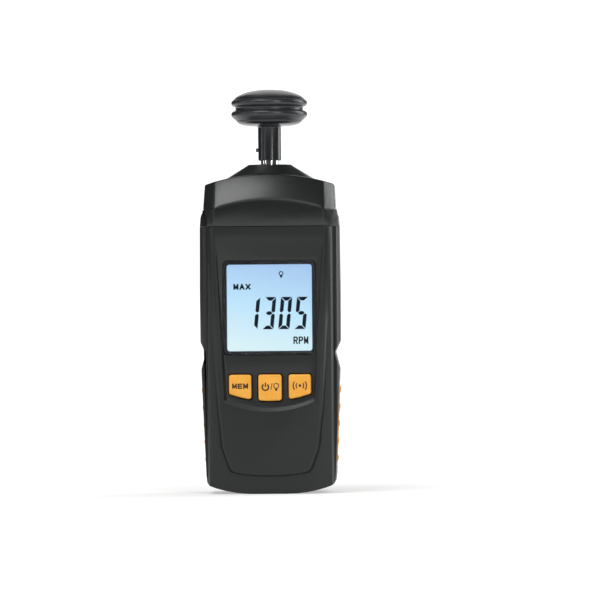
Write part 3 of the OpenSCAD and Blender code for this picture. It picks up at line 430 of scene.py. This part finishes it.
def finishes():
    """Every finish by name, made once"""
    if "Charcoal shell" in bpy.data.materials:
        return bpy.data.materials
    c = bpy.context.scene.tacho_colours
    moulded("Charcoal shell", c.shell, c.shell_light, 0.40, specular=0.42)
    moulded("Charcoal head", c.shell, tuple(v * 1.04 for v in c.shell), 0.27, depth=0.010, uneven=0.003,
            specular=0.46)
    moulded("Amber key", c.amber, c.amber_pale, 0.42, grain=5000, depth=0.01, patch=240)
    moulded("Amber grip", c.amber, c.amber_pale, 0.5, grain=4000, depth=0.02, patch=160)
    moulded("Wheel rubber", c.rubber, tuple(v * 1.7 for v in c.rubber), 0.32, grain=3500, depth=0.03,
            patch=120)
    moulded("Wheel plastic", c.rubber, tuple(v * 1.4 for v in c.rubber), 0.26, grain=6000, depth=0.008)
    moulded("Sleeve plastic", c.rubber, tuple(v * 1.3 for v in c.rubber), 0.21, grain=6000, depth=0.005)
    moulded("Turned steel", c.steel, tuple(v * 0.93 for v in c.steel), 0.12, metal=1.0, depth=0.004)
    moulded("Screw steel", (0.16, 0.165, 0.17), (0.13, 0.135, 0.14), 0.32, metal=1.0, depth=0.01)
    moulded("Spring steel", (0.55, 0.55, 0.56), (0.45, 0.45, 0.46), 0.3, metal=1.0, depth=0.01)
    moulded("Contact brass", (0.72, 0.58, 0.32), (0.6, 0.48, 0.26), 0.3, metal=1.0, depth=0.01)
    moulded("Cast block", (0.42, 0.43, 0.44), (0.34, 0.35, 0.36), 0.45, metal=1.0, grain=2500, depth=0.04)
    moulded("Board green", (0.01, 0.09, 0.035), (0.015, 0.12, 0.05), 0.35, patch=300, depth=0.01)
    moulded("Black part", (0.012, 0.012, 0.013), (0.02, 0.02, 0.021), 0.35, depth=0.01)
    moulded("White plastic", (0.62, 0.64, 0.64), (0.55, 0.57, 0.57), 0.45, depth=0.01)
    moulded("Nylon hub", (0.55, 0.54, 0.48), (0.48, 0.47, 0.42), 0.5, depth=0.01)
    moulded("Cell sleeve", (0.03, 0.10, 0.30), (0.02, 0.07, 0.24), 0.25, coat=0.4, depth=0.005)
    moulded("Seal rubber", (0.01, 0.01, 0.01), (0.016, 0.016, 0.016), 0.6, grain=3000, depth=0.03)
    moulded("Border print", (0.014, 0.016, 0.018), (0.016, 0.018, 0.020), 0.38, depth=0.002)
    moulded("Edge print", (0.02, 0.05, 0.14), (0.025, 0.06, 0.16), 0.4, depth=0.002)
    # Painted shade for the back rims of the keys
    moulded("Key root", c.key_root, tuple(v * 1.2 for v in c.key_root), 0.6, depth=0.004)
    moulded("Key legend", c.legend, tuple(v * 1.2 for v in c.legend), 0.5, depth=0.004)
    moulded("Screen segment", c.digit, tuple(v * 1.2 for v in c.digit), 0.5, depth=0.002, specular=0.1)
    clear("Clear window", (0.98, 0.99, 1.0))
    low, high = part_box("lcd_glass")
    backlit("Lit screen", low.z, high.z, c.screen_low, c.screen_mid, c.screen_top)
    return bpy.data.materials


INNER_FINISHES = {
    "lcd_frame": "White plastic", "backlight_panel": "White plastic", "zebra_strips": "Seal rubber",
    "main_board": "Board green", "sensor_board": "Board green", "controller_chip": "Black part",
    "memory_plunger": "Black part", "power_plunger": "Black part", "measure_plunger": "Black part",
    "tact_switches": "Black part", "battery_cells": "Cell sleeve", "battery_springs": "Spring steel",
    "battery_contacts": "Contact brass", "bearing_block": "Cast block",
    "bearing_outer_rings": "Turned steel", "bearing_inner_rings": "Turned steel",
    "bearing_balls": "Turned steel", "retaining_ring": "Spring steel", "encoder_disc": "Black part",
    "encoder_hub": "Nylon hub", "photo_interrupter": "Black part", "housing_screws": "Screw steel",
    "board_screws": "Screw steel", "bearing_block_screws": "Screw steel",
    "sensor_board_screws": "Screw steel", "shaft_seal": "Seal rubber", "drive_shaft": "Turned steel",
    "drive_pin": "Screw steel", "lcd_glass": "Lit screen", "lcd_window": "Clear window",
}


class TACHO_OT_inner(bpy.types.Operator):
    """Gives the nodes that are shown as the CAD has them their finish"""

    bl_idname = "tacho.inner"
    bl_label = "Inner parts"

    def execute(self, context):
        for node, name in INNER_FINISHES.items():
            set_finish(frame["nodes"][node], finishes()[name])
            smooth(frame["nodes"][node])
        return {"FINISHED"}


class TACHO_OT_shells(bpy.types.Operator):
    """Rounds the edges of the housing, head cap, nose and battery door"""

    bl_idname = "tacho.shells"
    bl_label = "Shells"

    def execute(self, context):
        s = context.scene.tacho_sizes
        for node, edge, finish, soft, zones in (
            ("front_housing", s.shell_edge, "Charcoal shell", s.tongue_bevel, (self.hollow(),)),
            ("rear_housing", s.shell_edge, "Charcoal shell", 0.0, ()),
            ("battery_door", s.shell_edge / 2, "Charcoal shell", 0.0, ()),
            ("head_cap", s.head_edge, "Charcoal head", s.brow_bevel, (self.cheek_foot(),)),
        ):
            piece = rounded_copy(node, node + "_shell", edge, segments=3, soft=soft, zones=zones)
            stand_for(piece, node, finishes()[finish])
        self.nose(s)
        return {"FINISHED"}

    def hollow(self):
        """Zone inside the front housing, where edges stay sharp"""
        low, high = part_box("front_housing")
        skin, floor, side, seam, top = 2.9 * MM, 3 * MM, 4.7 * MM, 0.5 * MM, 2.5 * MM
        return (-FAR, low.y + skin, low.z + floor), (high.x - side, high.y - seam, high.z - top), 0.0

    def cheek_foot(self):
        """Zone at the foot of the head's cheeks, where edges are rounded less"""
        low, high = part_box("head_cap")
        cheek, below, above, part = 5 * MM, 1 * MM, 12 * MM, 0.35
        return (high.x - cheek, -FAR, low.z - below), (FAR, FAR, low.z + above), part

    def nose(self, s):
        """Cone that is round at the shaft and narrower from front to back at its foot"""
        low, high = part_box("nose_cone")
        flare, sunk, gap, lip, hidden = 1.35 * MM, 1.9 * MM, 0.3 * MM, 0.9 * MM, 0.6
        foot_r, end_r = high.x + flare, s.nose_end / 2
        foot_z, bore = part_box("head_cap")[1].z - sunk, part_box("drive_shaft")[1].x + gap
        profile = [(foot_r, foot_z)]
        profile += arc((end_r - lip, high.z - lip), lip, 32, 90, 5)
        profile += [(bore, high.z), (bore, low.z), (foot_r * hidden, low.z), (foot_r, foot_z)]
        piece = turned("nose_shell", profile, s.tyre_steps, closed=True)
        for v in piece.data.vertices:
            v.select = abs(v.co.z - foot_z) < 0.01 * MM
        bpy.ops.object.mode_set(mode="EDIT")
        bpy.ops.transform.resize(value=(1, s.nose_squash, 1), center_override=(0, 0, foot_z))
        bpy.ops.object.mode_set(mode="OBJECT")
        stand_for(piece, "nose_cone", finishes()["Charcoal head"])


def mark_plate(name, points, near_y, thick):
    """Flat printed mark: a face through its points, extruded to its thickness"""
    mesh = bpy.data.meshes.new(name)
    piece = bpy.data.objects.new(name, mesh)
    bpy.context.scene.collection.objects.link(piece)
    mesh.from_pydata([(x, near_y, z) for x, z in points], [], [tuple(range(len(points)))])
    activate(piece)
    bpy.ops.object.mode_set(mode="EDIT")
    bpy.ops.mesh.select_all(action="SELECT")
    bpy.ops.mesh.extrude_region_move(TRANSFORM_OT_translate={"value": (0, thick, 0)})
    bpy.ops.mesh.select_all(action="SELECT")
    bpy.ops.mesh.normals_make_consistent(inside=False)
    bpy.ops.object.mode_set(mode="OBJECT")
    return piece


def small_plate(name, centre, corners, near_y, thick):
    """Printed mark whose corners are given in millimetres from a centre"""
    points = [(centre[0] + x * MM, centre[1] + z * MM) for x, z in corners]
    return mark_plate(name, points, near_y, thick)


def rounded_points(width, height, radius, centre_z, steps=6):
    """Corner-rounded rectangle in X and Z, round a height"""
    points = []
    for i, (sx, sz) in enumerate(((1, -1), (1, 1), (-1, 1), (-1, -1))):
        start = -90 + 90 * i
        corner = (sx * (width / 2 - radius), centre_z + sz * (height / 2 - radius))
        points += arc(corner, radius, start, start + 90, steps)
    return points


def joined(name, parts):
    """One named piece made of several"""
    activate(parts[0])
    for part in parts[1:]:
        part.select_set(True)
    if len(parts) > 1:
        bpy.ops.object.join()
    parts[0].name = name
    return parts[0]


def ring_mark(name, centre, outer, inner, near_y, thick, start=0, end=360, steps=28):
    """Printed arc, or a whole ring made of two halves"""
    if end - start >= 360:
        halves = [ring_mark(name + str(i), centre, outer, inner, near_y, thick, 180 * i, 180 * (i + 1),
                            steps // 2) for i in range(2)]
        return joined(name, halves)
    out = arc(centre, outer, start, end, steps)
    back = arc(centre, inner, end, start, steps)
    return mark_plate(name, out + back, near_y, thick)


# Strokes of the plain capitals, from one point to another in a box of 1 by 1
LETTERS = {
    "A": [(0, 0, 0.5, 1), (0.5, 1, 1, 0), (0.2, 0.33, 0.8, 0.33)],
    "E": [(0, 0, 0, 1), (0, 1, 0.95, 1), (0, 0.5, 0.85, 0.5), (0, 0, 0.95, 0)],
    "M": [(0, 0, 0, 1), (0, 1, 0.5, 0.2), (0.5, 0.2, 1, 1), (1, 1, 1, 0)],
    "P": [(0, 0, 0, 1), (0, 1, 0.7, 1), (0.7, 1, 1, 0.86), (1, 0.86, 1, 0.62), (1, 0.62, 0.7, 0.48),
          (0.7, 0.48, 0, 0.48)],
    "X": [(0, 0, 1, 1), (0, 1, 1, 0)],
}
LETTERS["R"] = LETTERS["P"] + [(0.5, 0.48, 1, 0)]


def word_mark(name, word, centre, size, near_y, thick, stroke):
    """Plain capitals drawn with strokes, in a row of a given width and height"""
    wide, tall = size
    pitch = (wide + stroke) / len(word)
    space, inset = stroke * 1.6, stroke * 0.3
    letter = pitch - space
    parts = []
    for place, sign in enumerate(word):
        left = centre[0] - wide / 2 + inset + pitch * place
        low = centre[1] - tall / 2 + stroke / 2
        for number, (x0, z0, x1, z1) in enumerate(LETTERS[sign]):
            start = Vector((left + letter * x0, low + (tall - stroke) * z0))
            end = Vector((left + letter * x1, low + (tall - stroke) * z1))
            along = (end - start).normalized() * stroke / 2
            side = Vector((-along.y, along.x))
            corners = (start - along - side, end + along - side, end + along + side, start - along + side)
            parts.append(mark_plate(f"{name}{place}{number}", [tuple(c) for c in corners], near_y, thick))
    return joined(name, parts)


# Bars that each digit lights: a on top, b and c on the right, d below, e and f on the left, g between
SEGMENTS = {"0": "abcdef", "1": "bc", "2": "abged", "3": "abgcd", "4": "fgbc", "5": "afgcd",
            "6": "afgedc", "7": "abc", "8": "abcdefg", "9": "abcdfg"}


def segment_points(name, wide, tall, stroke):
    """Outline of one bar of a seven-bar digit round its middle"""
    gap, half, notch = stroke * 0.12, stroke / 2, 0.7
    rows = {"a": tall / 2 - half, "g": 0.0, "d": -tall / 2 + half}
    if name in rows:
        z, reach = rows[name], wide / 2 - half - gap
        if name == "g":
            return [(-reach, z), (-reach + half, z - half), (reach - half, z - half), (reach, z),
                    (reach - half, z + half), (-reach + half, z + half)]
        out = half if name == "a" else -half
        return [(-reach - half, z + out), (-reach + half, z - out), (reach - half, z - out),
                (reach + half, z + out)]
    side = 1 if name in "bc" else -1
    up = 1 if name in "bf" else -1
    x, end = side * (wide / 2 - half), tall / 2 - gap - half
    return [(x + side * half, up * (end + half)), (x - side * half, up * (end - half)),
            (x - side * half, up * (half + gap)), (x, up * gap),
            (x + side * half, up * (half + gap) * notch)]


class TACHO_OT_screen(bpy.types.Operator):
    """Draws the window's dark border and the screen's plain reading"""

    bl_idname = "tacho.screen"
    bl_label = "Screen"

    def execute(self, context):
        s = context.scene.tacho_sizes
        low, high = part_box("lcd_window")
        centre_z = (low.z + high.z) / 2
        thick, border, behind, ahead = s.mark_depth, 1.4 * MM, 0.01 * MM, 0.02 * MM
        rims = [(high.x - low.x - cut * border, high.z - low.z - cut * border, radius * MM)
                for cut, radius in ((0, 1.9), (2, 1.2), (2.3, 1.1))]
        for name, outer, inner, finish in (("window_border", rims[0], rims[1], "Border print"),
                                           ("window_edge_line", rims[1], rims[2], "Edge print")):
            piece = self.border(name, outer, inner, centre_z, high.y + behind, thick)
            ride_with(piece, "lcd_window", finishes()[finish])
        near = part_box("lcd_glass")[0].y - ahead - thick
        parts = self.digits(s, near, thick, centre_z) + self.words(near, thick, centre_z)
        marks = joined("screen_segments", parts)
        ride_with(marks, "lcd_glass", finishes()["Screen segment"])
        return {"FINISHED"}

    def border(self, name, outer, inner, centre_z, near_y, thick):
        """Printed frame: a rounded rectangle with a smaller one cut out of it"""
        piece = mark_plate(name, rounded_points(*outer, centre_z), near_y, thick)
        hole = mark_plate(name + "_hole", rounded_points(*inner, centre_z), near_y - thick, thick * 3)
        add_modifier(piece, "BOOLEAN", operation="DIFFERENCE", object=hole, solver="EXACT")
        bpy.data.objects.remove(hole)
        return piece

    def digits(self, s, near, thick, centre_z):
        """Leaning seven-bar digits of the reading, lined up on the right"""
        wide, tall, stroke = 4.7 * MM, s.digit_height, 1.52 * MM
        right_x, row_z = 13.15 * MM, centre_z - 2.25 * MM
        lean = math.tan(s.digit_lean)
        parts = []
        for place, figure in enumerate(s.reading):
            x0 = right_x - s.digit_pitch * (len(s.reading) - 1 - place)
            for bar in SEGMENTS[figure]:
                points = [(x0 + x + z * lean, row_z + z) for x, z in segment_points(bar, wide, tall, stroke)]
                parts.append(mark_plate(f"digit{place}{bar}", points, near, thick))
        return parts

    def words(self, near, thick, centre_z):
        """MAX at the upper left, RPM at the lower right and a small lamp at the top"""
        held, unit = (-11.4 * MM, centre_z + 8.75 * MM), (12.9 * MM, centre_z - 13.6 * MM)
        bulb = (4.9 * MM, centre_z + 14.2 * MM)
        foot = ((-0.5, -0.9), (0.5, -0.9), (0.35, -1.75), (-0.35, -1.75))
        return [
            word_mark("held_value", "MAX", held, (6.9 * MM, 2.4 * MM), near, thick, 0.66 * MM),
            word_mark("unit", "RPM", unit, (6.0 * MM, 3.1 * MM), near, thick, 0.56 * MM),
            ring_mark("bulb", bulb, 0.98 * MM, 0.58 * MM, near, thick, steps=20),
            small_plate("bulb_foot", bulb, foot, near, thick),
        ]


class TACHO_OT_keys(bpy.types.Operator):
    """Rounds the amber keys, paints shade on their back rims and prints their plain marks"""

    bl_idname = "tacho.keys"
    bl_label = "Keys"

    def execute(self, context):
        s = context.scene.tacho_sizes
        marks = {"memory_key": self.memory_marks, "power_key": self.power_marks,
                 "measure_key": self.signal_marks}
        for node, draw in marks.items():
            cap = rounded_copy(node, node + "_cap", s.key_edge, segments=3)
            stand_for(cap, node, finishes()["Amber key"])
            low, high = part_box(node)
            # The faces at the back of each key take the dark painted shade in place of the shadow in the gap
            # round it
            cap.data.materials.append(finishes()["Key root"])
            for face in cap.data.polygons:
                if face.center.y > high.y - s.key_root:
                    face.material_index = 1
            x = (low.x + high.x) / 2
            near = low.y - s.mark_depth
            piece = joined(node + "_legend", draw(x, high.z, near, s.mark_depth * 1.5))
            ride_with(piece, node, finishes()["Key legend"])
        return {"FINISHED"}

    def memory_marks(self, x, top, near, thick):
        """MEM in plain capitals"""
        centre = (x, top - 5.75 * MM)
        return [word_mark("memory", "MEM", centre, (6.4 * MM, 2.2 * MM), near, thick, 0.54 * MM)]

    def power_marks(self, x, top, near, thick):
        """Power sign, slash and lamp"""
        middle = (x, top - 6.2 * MM)
        switch, lamp = (x - 1.9 * MM, middle[1]), (x + 2.6 * MM, middle[1] + 0.5 * MM)
        bar = ((-0.28, 0.0), (0.28, 0.0), (0.28, 1.9), (-0.28, 1.9))
        slash = ((0.1, -1.1), (0.45, -1.1), (1.1, 1.6), (0.75, 1.6))
        foot = ((-0.5, -1.2), (0.5, -1.2), (0.4, -2.1), (-0.4, -2.1))
        return [
            ring_mark("power_ring", switch, 1.65 * MM, 1.0 * MM, near, thick, 125, 415),
            small_plate("power_bar", switch, bar, near, thick),
            small_plate("slash", middle, slash, near, thick),
            ring_mark("lamp", lamp, 1.2 * MM, 0.85 * MM, near, thick, steps=24),
            small_plate("lamp_foot", lamp, foot, near, thick),
        ]

    def signal_marks(self, x, top, near, thick):
        """Dot between two pairs of waves"""
        centre, dot, pin = (x, top - 5.7 * MM), 0.58 * MM, 0.02 * MM
        marks = [ring_mark("signal_dot", centre, dot, pin, near, thick, steps=20)]
        for turn in (0, 180):
            for name, outer, inner, reach in (("near", 1.8, 1.3, 42), ("far", 3.0, 2.5, 38)):
                marks.append(ring_mark(f"signal_{name}_{turn}", centre, outer * MM, inner * MM, near, thick,
                                       turn - reach, turn + reach, 12))
        return marks


class TACHO_OT_grips(bpy.types.Operator):
    """Softens the amber grip strips on the lower sides"""

    bl_idname = "tacho.grips"
    bl_label = "Grips"

    def execute(self, context):
        for node in ("side_grip_left", "side_grip_right"):
            width = context.scene.tacho_sizes.grip_edge
            piece = rounded_copy(node, node + "_rubber", width, segments=3)
            stand_for(piece, node, finishes()["Amber grip"])
        return {"FINISHED"}


class TACHO_OT_wheel(bpy.types.Operator):
    """Turns the ribbed tyre, the domed cap and the sleeve"""

    bl_idname = "tacho.wheel"
    bl_label = "Wheel"

    def execute(self, context):
        s = context.scene.tacho_sizes
        core_wall = 1.6 * MM
        self.tyre(s.tyre_steps, core_wall)
        self.cap(s.tyre_steps)
        self.bowl(s.tyre_steps, core_wall)
        sleeve = rounded_copy("wheel_adapter", "wheel_sleeve", s.sleeve_edge)
        stand_for(sleeve, "wheel_adapter", finishes()["Sleeve plastic"])
        return {"FINISHED"}

    def tyre(self, steps, core_wall):
        """Rubber ring with two round ribs, a groove between them and a soft lower edge"""
        low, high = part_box("wheel_tyre")
        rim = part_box("wheel_core")[1].x
        out, core, seat = high.x, rim - core_wall, low.z + 0.8 * MM
        rib, upper_rib, groove, groove_in = 1.5 * MM, 1.47 * MM, 1.15 * MM, 0.7 * MM
        rib_z, groove_z, upper_z = low.z + 2.6 * MM, low.z + 4.98 * MM, low.z + 7.35 * MM
        shoulder, top, sunk, edge_z = 14.75 * MM, 14.55 * MM, 0.02 * MM, 0.08 * MM
        profile = [(core, seat), (rim, seat), (rim, low.z), (rim + 0.3 * MM, low.z + sunk)]
        profile += arc((out - rib, rib_z), rib, -42, 62, 12)
        profile += arc((out - groove_in, groove_z), groove, 230, 130, 8)
        profile += arc((out - rib, upper_z), upper_rib, -62, 64, 12)
        profile += [(shoulder, high.z - edge_z), (top, high.z), (core, high.z - sunk), (core, seat)]
        piece = turned("ribbed_tyre", profile, steps, closed=True)
        stand_for(piece, "wheel_tyre", finishes()["Wheel rubber"])

    def bowl(self, steps, core_wall):
        """Wheel's core with a full, bowl-shaped underside"""
        low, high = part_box("wheel_core")
        rim, core, foot = high.x, high.x - core_wall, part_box("wheel_adapter")[1].x * 0.9
        tall, seat, fullness = 2.3 * MM, low.z + 3.1 * MM, 2.6
        radii = [foot + (rim - foot) * math.sin(math.radians(a)) for a in range(0, 91, 6)]
        parts = [((r - foot) / (rim - foot)) ** fullness for r in radii]
        under = [(r, low.z + tall * (1 - math.sqrt(1 - part))) for r, part in zip(radii, parts)]
        profile = under + [(rim, seat), (core, seat), (core, high.z)]
        piece = turned("wheel_bowl", profile, steps)
        stand_for(piece, "wheel_core", finishes()["Wheel plastic"])

    def cap(self, steps):
        """Domed cap, a little fuller than a ball, with a fine step at its edge"""
        low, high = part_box("wheel_cap")
        edge, tall, fullness, shoulder = high.x, high.z - low.z, 2.35, 1.35
        step, step_z, pole = 0.15 * MM, 0.08 * MM, 0.15 * MM
        radii = [edge * math.sin(math.radians(a)) for a in range(84, 0, -3)] + [pole]
        dome = [(r, low.z + tall * (1 - (r / edge) ** fullness) ** (1 / shoulder)) for r in radii]
        profile = [(edge * 0.96, low.z), (edge - step, low.z + step_z)] + dome
        piece = turned("domed_cap", profile, steps)
        stand_for(piece, "wheel_cap", finishes()["Wheel plastic"])


class TACHO_OT_stage(bpy.types.Operator):
    """Sets up the pale sweep, the soft lamps and the camera at the photograph's angle"""

    bl_idname = "tacho.stage"
    bl_label = "Stage"

    def execute(self, context):
        scene = context.scene
        scene.view_settings.view_transform = "Standard"
        self.sweep()
        self.world(scene)
        self.lamps()
        self.camera(scene)
        return {"FINISHED"}

    def sweep(self):
        """Floor that rises into a backdrop behind the meter"""
        wide, deep, middle_y, bends, step, wall = 1.5, 2.8, 0.5, 6, 0.12, 3.0
        deselect()
        bpy.ops.mesh.primitive_plane_add(size=1, location=(0, 0, 0))
        floor = bpy.context.active_object
        floor.name = "pale_sweep"
        floor.scale = (wide, deep, 1)
        floor.location = (0, middle_y, 0)
        apply_place(floor)
        bpy.ops.object.mode_set(mode="EDIT")
        bpy.ops.mesh.select_mode(type="EDGE")
        bpy.ops.mesh.select_all(action="DESELECT")
        bpy.ops.object.mode_set(mode="OBJECT")
        far = max(v.co.y for v in floor.data.vertices)
        for edge in floor.data.edges:
            edge.select = all(floor.data.vertices[i].co.y > far - MM for i in edge.vertices)
        bpy.ops.object.mode_set(mode="EDIT")
        for bend in range(bends):
            lean = math.radians(90 / bends * (bend + 0.5))
            bpy.ops.mesh.extrude_region_move(
                TRANSFORM_OT_translate={"value": (0, step * math.cos(lean), step * math.sin(lean))})
        bpy.ops.mesh.extrude_region_move(TRANSFORM_OT_translate={"value": (0, 0, wall)})
        bpy.ops.mesh.select_all(action="SELECT")
        bpy.ops.mesh.normals_make_consistent(inside=False)
        bpy.ops.object.mode_set(mode="OBJECT")
        smooth(floor, 60)
        set_finish(floor, self.sweep_finish())

    def sweep_finish(self):
        """Pale finish that glows for the camera and in mirrors, less so round the meter's foot"""
        near, far, near_glow, far_glow = 0.04, 0.45, 0.40, 0.92
        material, nodes, links, shader = new_material("Pale sweep")
        shader.inputs["Base Color"].default_value = (0.62, 0.62, 0.62, 1)
        shader.inputs["Roughness"].default_value = 0.9
        shader.inputs["Specular IOR Level"].default_value = 0.1
        path = nodes.new("ShaderNodeLightPath")
        seen = nodes.new("ShaderNodeMath")
        seen.operation = "MAXIMUM"
        links.new(path.outputs["Is Camera Ray"], seen.inputs[0])
        links.new(path.outputs["Is Transmission Ray"], seen.inputs[1])
        seen_or_mirrored = nodes.new("ShaderNodeMath")
        seen_or_mirrored.operation = "MAXIMUM"
        links.new(seen.outputs["Value"], seen_or_mirrored.inputs[0])
        links.new(path.outputs["Is Glossy Ray"], seen_or_mirrored.inputs[1])
        reach = nodes.new("ShaderNodeVectorMath")
        reach.operation = "LENGTH"
        links.new(nodes.new("ShaderNodeTexCoord").outputs["Object"], reach.inputs[0])
        strength = nodes.new("ShaderNodeMath")
        strength.operation = "MULTIPLY"
        links.new(seen_or_mirrored.outputs["Value"], strength.inputs[0])
        glow = spread(nodes, links, reach.outputs["Value"], near_glow, far_glow, near, far)
        links.new(glow, strength.inputs[1])
        shader.inputs["Emission Color"].default_value = (1, 1, 1, 1)
        links.new(strength.outputs["Value"], shader.inputs["Emission Strength"])
        return material

    def world(self, scene):
        """Even pale surroundings, dim where they mirror in the meter"""
        even, mirrored = 0.36, 0.06
        world = bpy.data.worlds.new("Studio")
        scene.world = world
        world.use_nodes = True
        nodes, links = world.node_tree.nodes, world.node_tree.links
        background = nodes["Background"]
        background.inputs["Color"].default_value = (1, 1, 1, 1)
        path = nodes.new("ShaderNodeLightPath")
        glossy = nodes.new("ShaderNodeMath")
        glossy.operation = "MULTIPLY_ADD"
        glossy.inputs[1].default_value = mirrored - even
        glossy.inputs[2].default_value = even
        links.new(path.outputs["Is Glossy Ray"], glossy.inputs[0])
        links.new(glossy.outputs["Value"], background.inputs["Strength"])

    def lamps(self):
        """Soft boxes and strips, which all aim at the meter's middle: name, place, size and power"""
        aim = Vector((0, 0, 0.1))
        for name, place, size, power in (
            ("brow_box", (-0.27, -0.40, 0.92), (0.40, 0.40), 3.4),
            ("left_strip", (-0.76, -0.65, 0.45), (0.08, 0.80), 1.3),
            ("left_back_box", (-0.95, -0.12, 0.45), (0.10, 0.80), 1.0),
            ("right_strip", (0.40, -0.80, 0.45), (0.09, 0.80), 3.0),
            ("right_box", (0.80, 0.40, 0.45), (0.45, 0.90), 4.8),
            ("front_fill", (0.10, -1.45, 1.35), (0.90, 0.60), 2.3),
            ("rear_top_box", (0.0, 0.45, 1.10), (0.80, 0.40), 0.35),
        ):
            lamp = bpy.data.lights.new(name, "AREA")
            lamp.shape = "RECTANGLE"
            lamp.size, lamp.size_y = size
            lamp.energy = power
            holder = bpy.data.objects.new(name, lamp)
            bpy.context.scene.collection.objects.link(holder)
            holder.location = place
            holder.rotation_mode = "QUATERNION"
            holder.rotation_quaternion = (aim - Vector(place)).to_track_quat("-Z", "Y")

    def camera(self, scene):
        """Long lens square to the panel, with the meter's foot where the picture has it"""
        s = scene.tacho_sizes
        picture, base_px, base_py = 600, 272.3, 494.2
        roll, swing, sensor = math.radians(0.5), math.radians(1.8), 36
        unit = s.photo_scale
        panel_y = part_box("front_housing")[0].y
        across, up = (picture / 2 - base_px) * unit, (base_py - picture / 2) * unit
        x = across * math.cos(roll) + up * math.sin(roll)
        z = up * math.cos(roll) - across * math.sin(roll)
        cam = bpy.data.cameras.new("camera")
        holder = bpy.data.objects.new("camera", cam)
        scene.collection.objects.link(holder)
        cam.sensor_width = sensor
        cam.lens = sensor * s.camera_away / (picture * unit)
        cam.clip_start, cam.clip_end = 0.05, 20
        holder.location = Matrix.Rotation(swing, 3, "Z") @ Vector((x, panel_y - s.camera_away, z))
        holder.rotation_euler = (math.radians(90), roll, swing)
        scene.camera = holder


class TACHO_PT_panel(bpy.types.Panel):
    """Steps that dress the meter, in order"""

    bl_idname = "TACHO_PT_panel"
    bl_label = "Contact tachometer"
    bl_space_type = "VIEW_3D"
    bl_region_type = "UI"
    bl_category = "Tachometer"

    def draw(self, context):
        for step in STEPS:
            self.layout.operator(step.bl_idname)
        for group in (context.scene.tacho_sizes, context.scene.tacho_colours):
            for name in group.__annotations__:
                self.layout.prop(group, name)


STEPS = (TACHO_OT_inner, TACHO_OT_shells, TACHO_OT_screen, TACHO_OT_keys, TACHO_OT_grips, TACHO_OT_wheel,
         TACHO_OT_stage)
CLASSES = (TachoSizes, TachoColours, *STEPS, TACHO_PT_panel)


def register():
    for cls in CLASSES:
        bpy.utils.register_class(cls)
    bpy.types.Scene.tacho_sizes = PointerProperty(type=TachoSizes)
    bpy.types.Scene.tacho_colours = PointerProperty(type=TachoColours)


def unregister():
    del bpy.types.Scene.tacho_colours
    del bpy.types.Scene.tacho_sizes
    for cls in reversed(CLASSES):
        bpy.utils.unregister_class(cls)


def main():
    """Dresses the meter step by step"""
    register()
    bpy.ops.tacho.inner()
    bpy.ops.tacho.shells()
    bpy.ops.tacho.screen()
    bpy.ops.tacho.keys()
    bpy.ops.tacho.grips()
    bpy.ops.tacho.wheel()
    bpy.ops.tacho.stage()


if __name__ == "__main__":
    main()
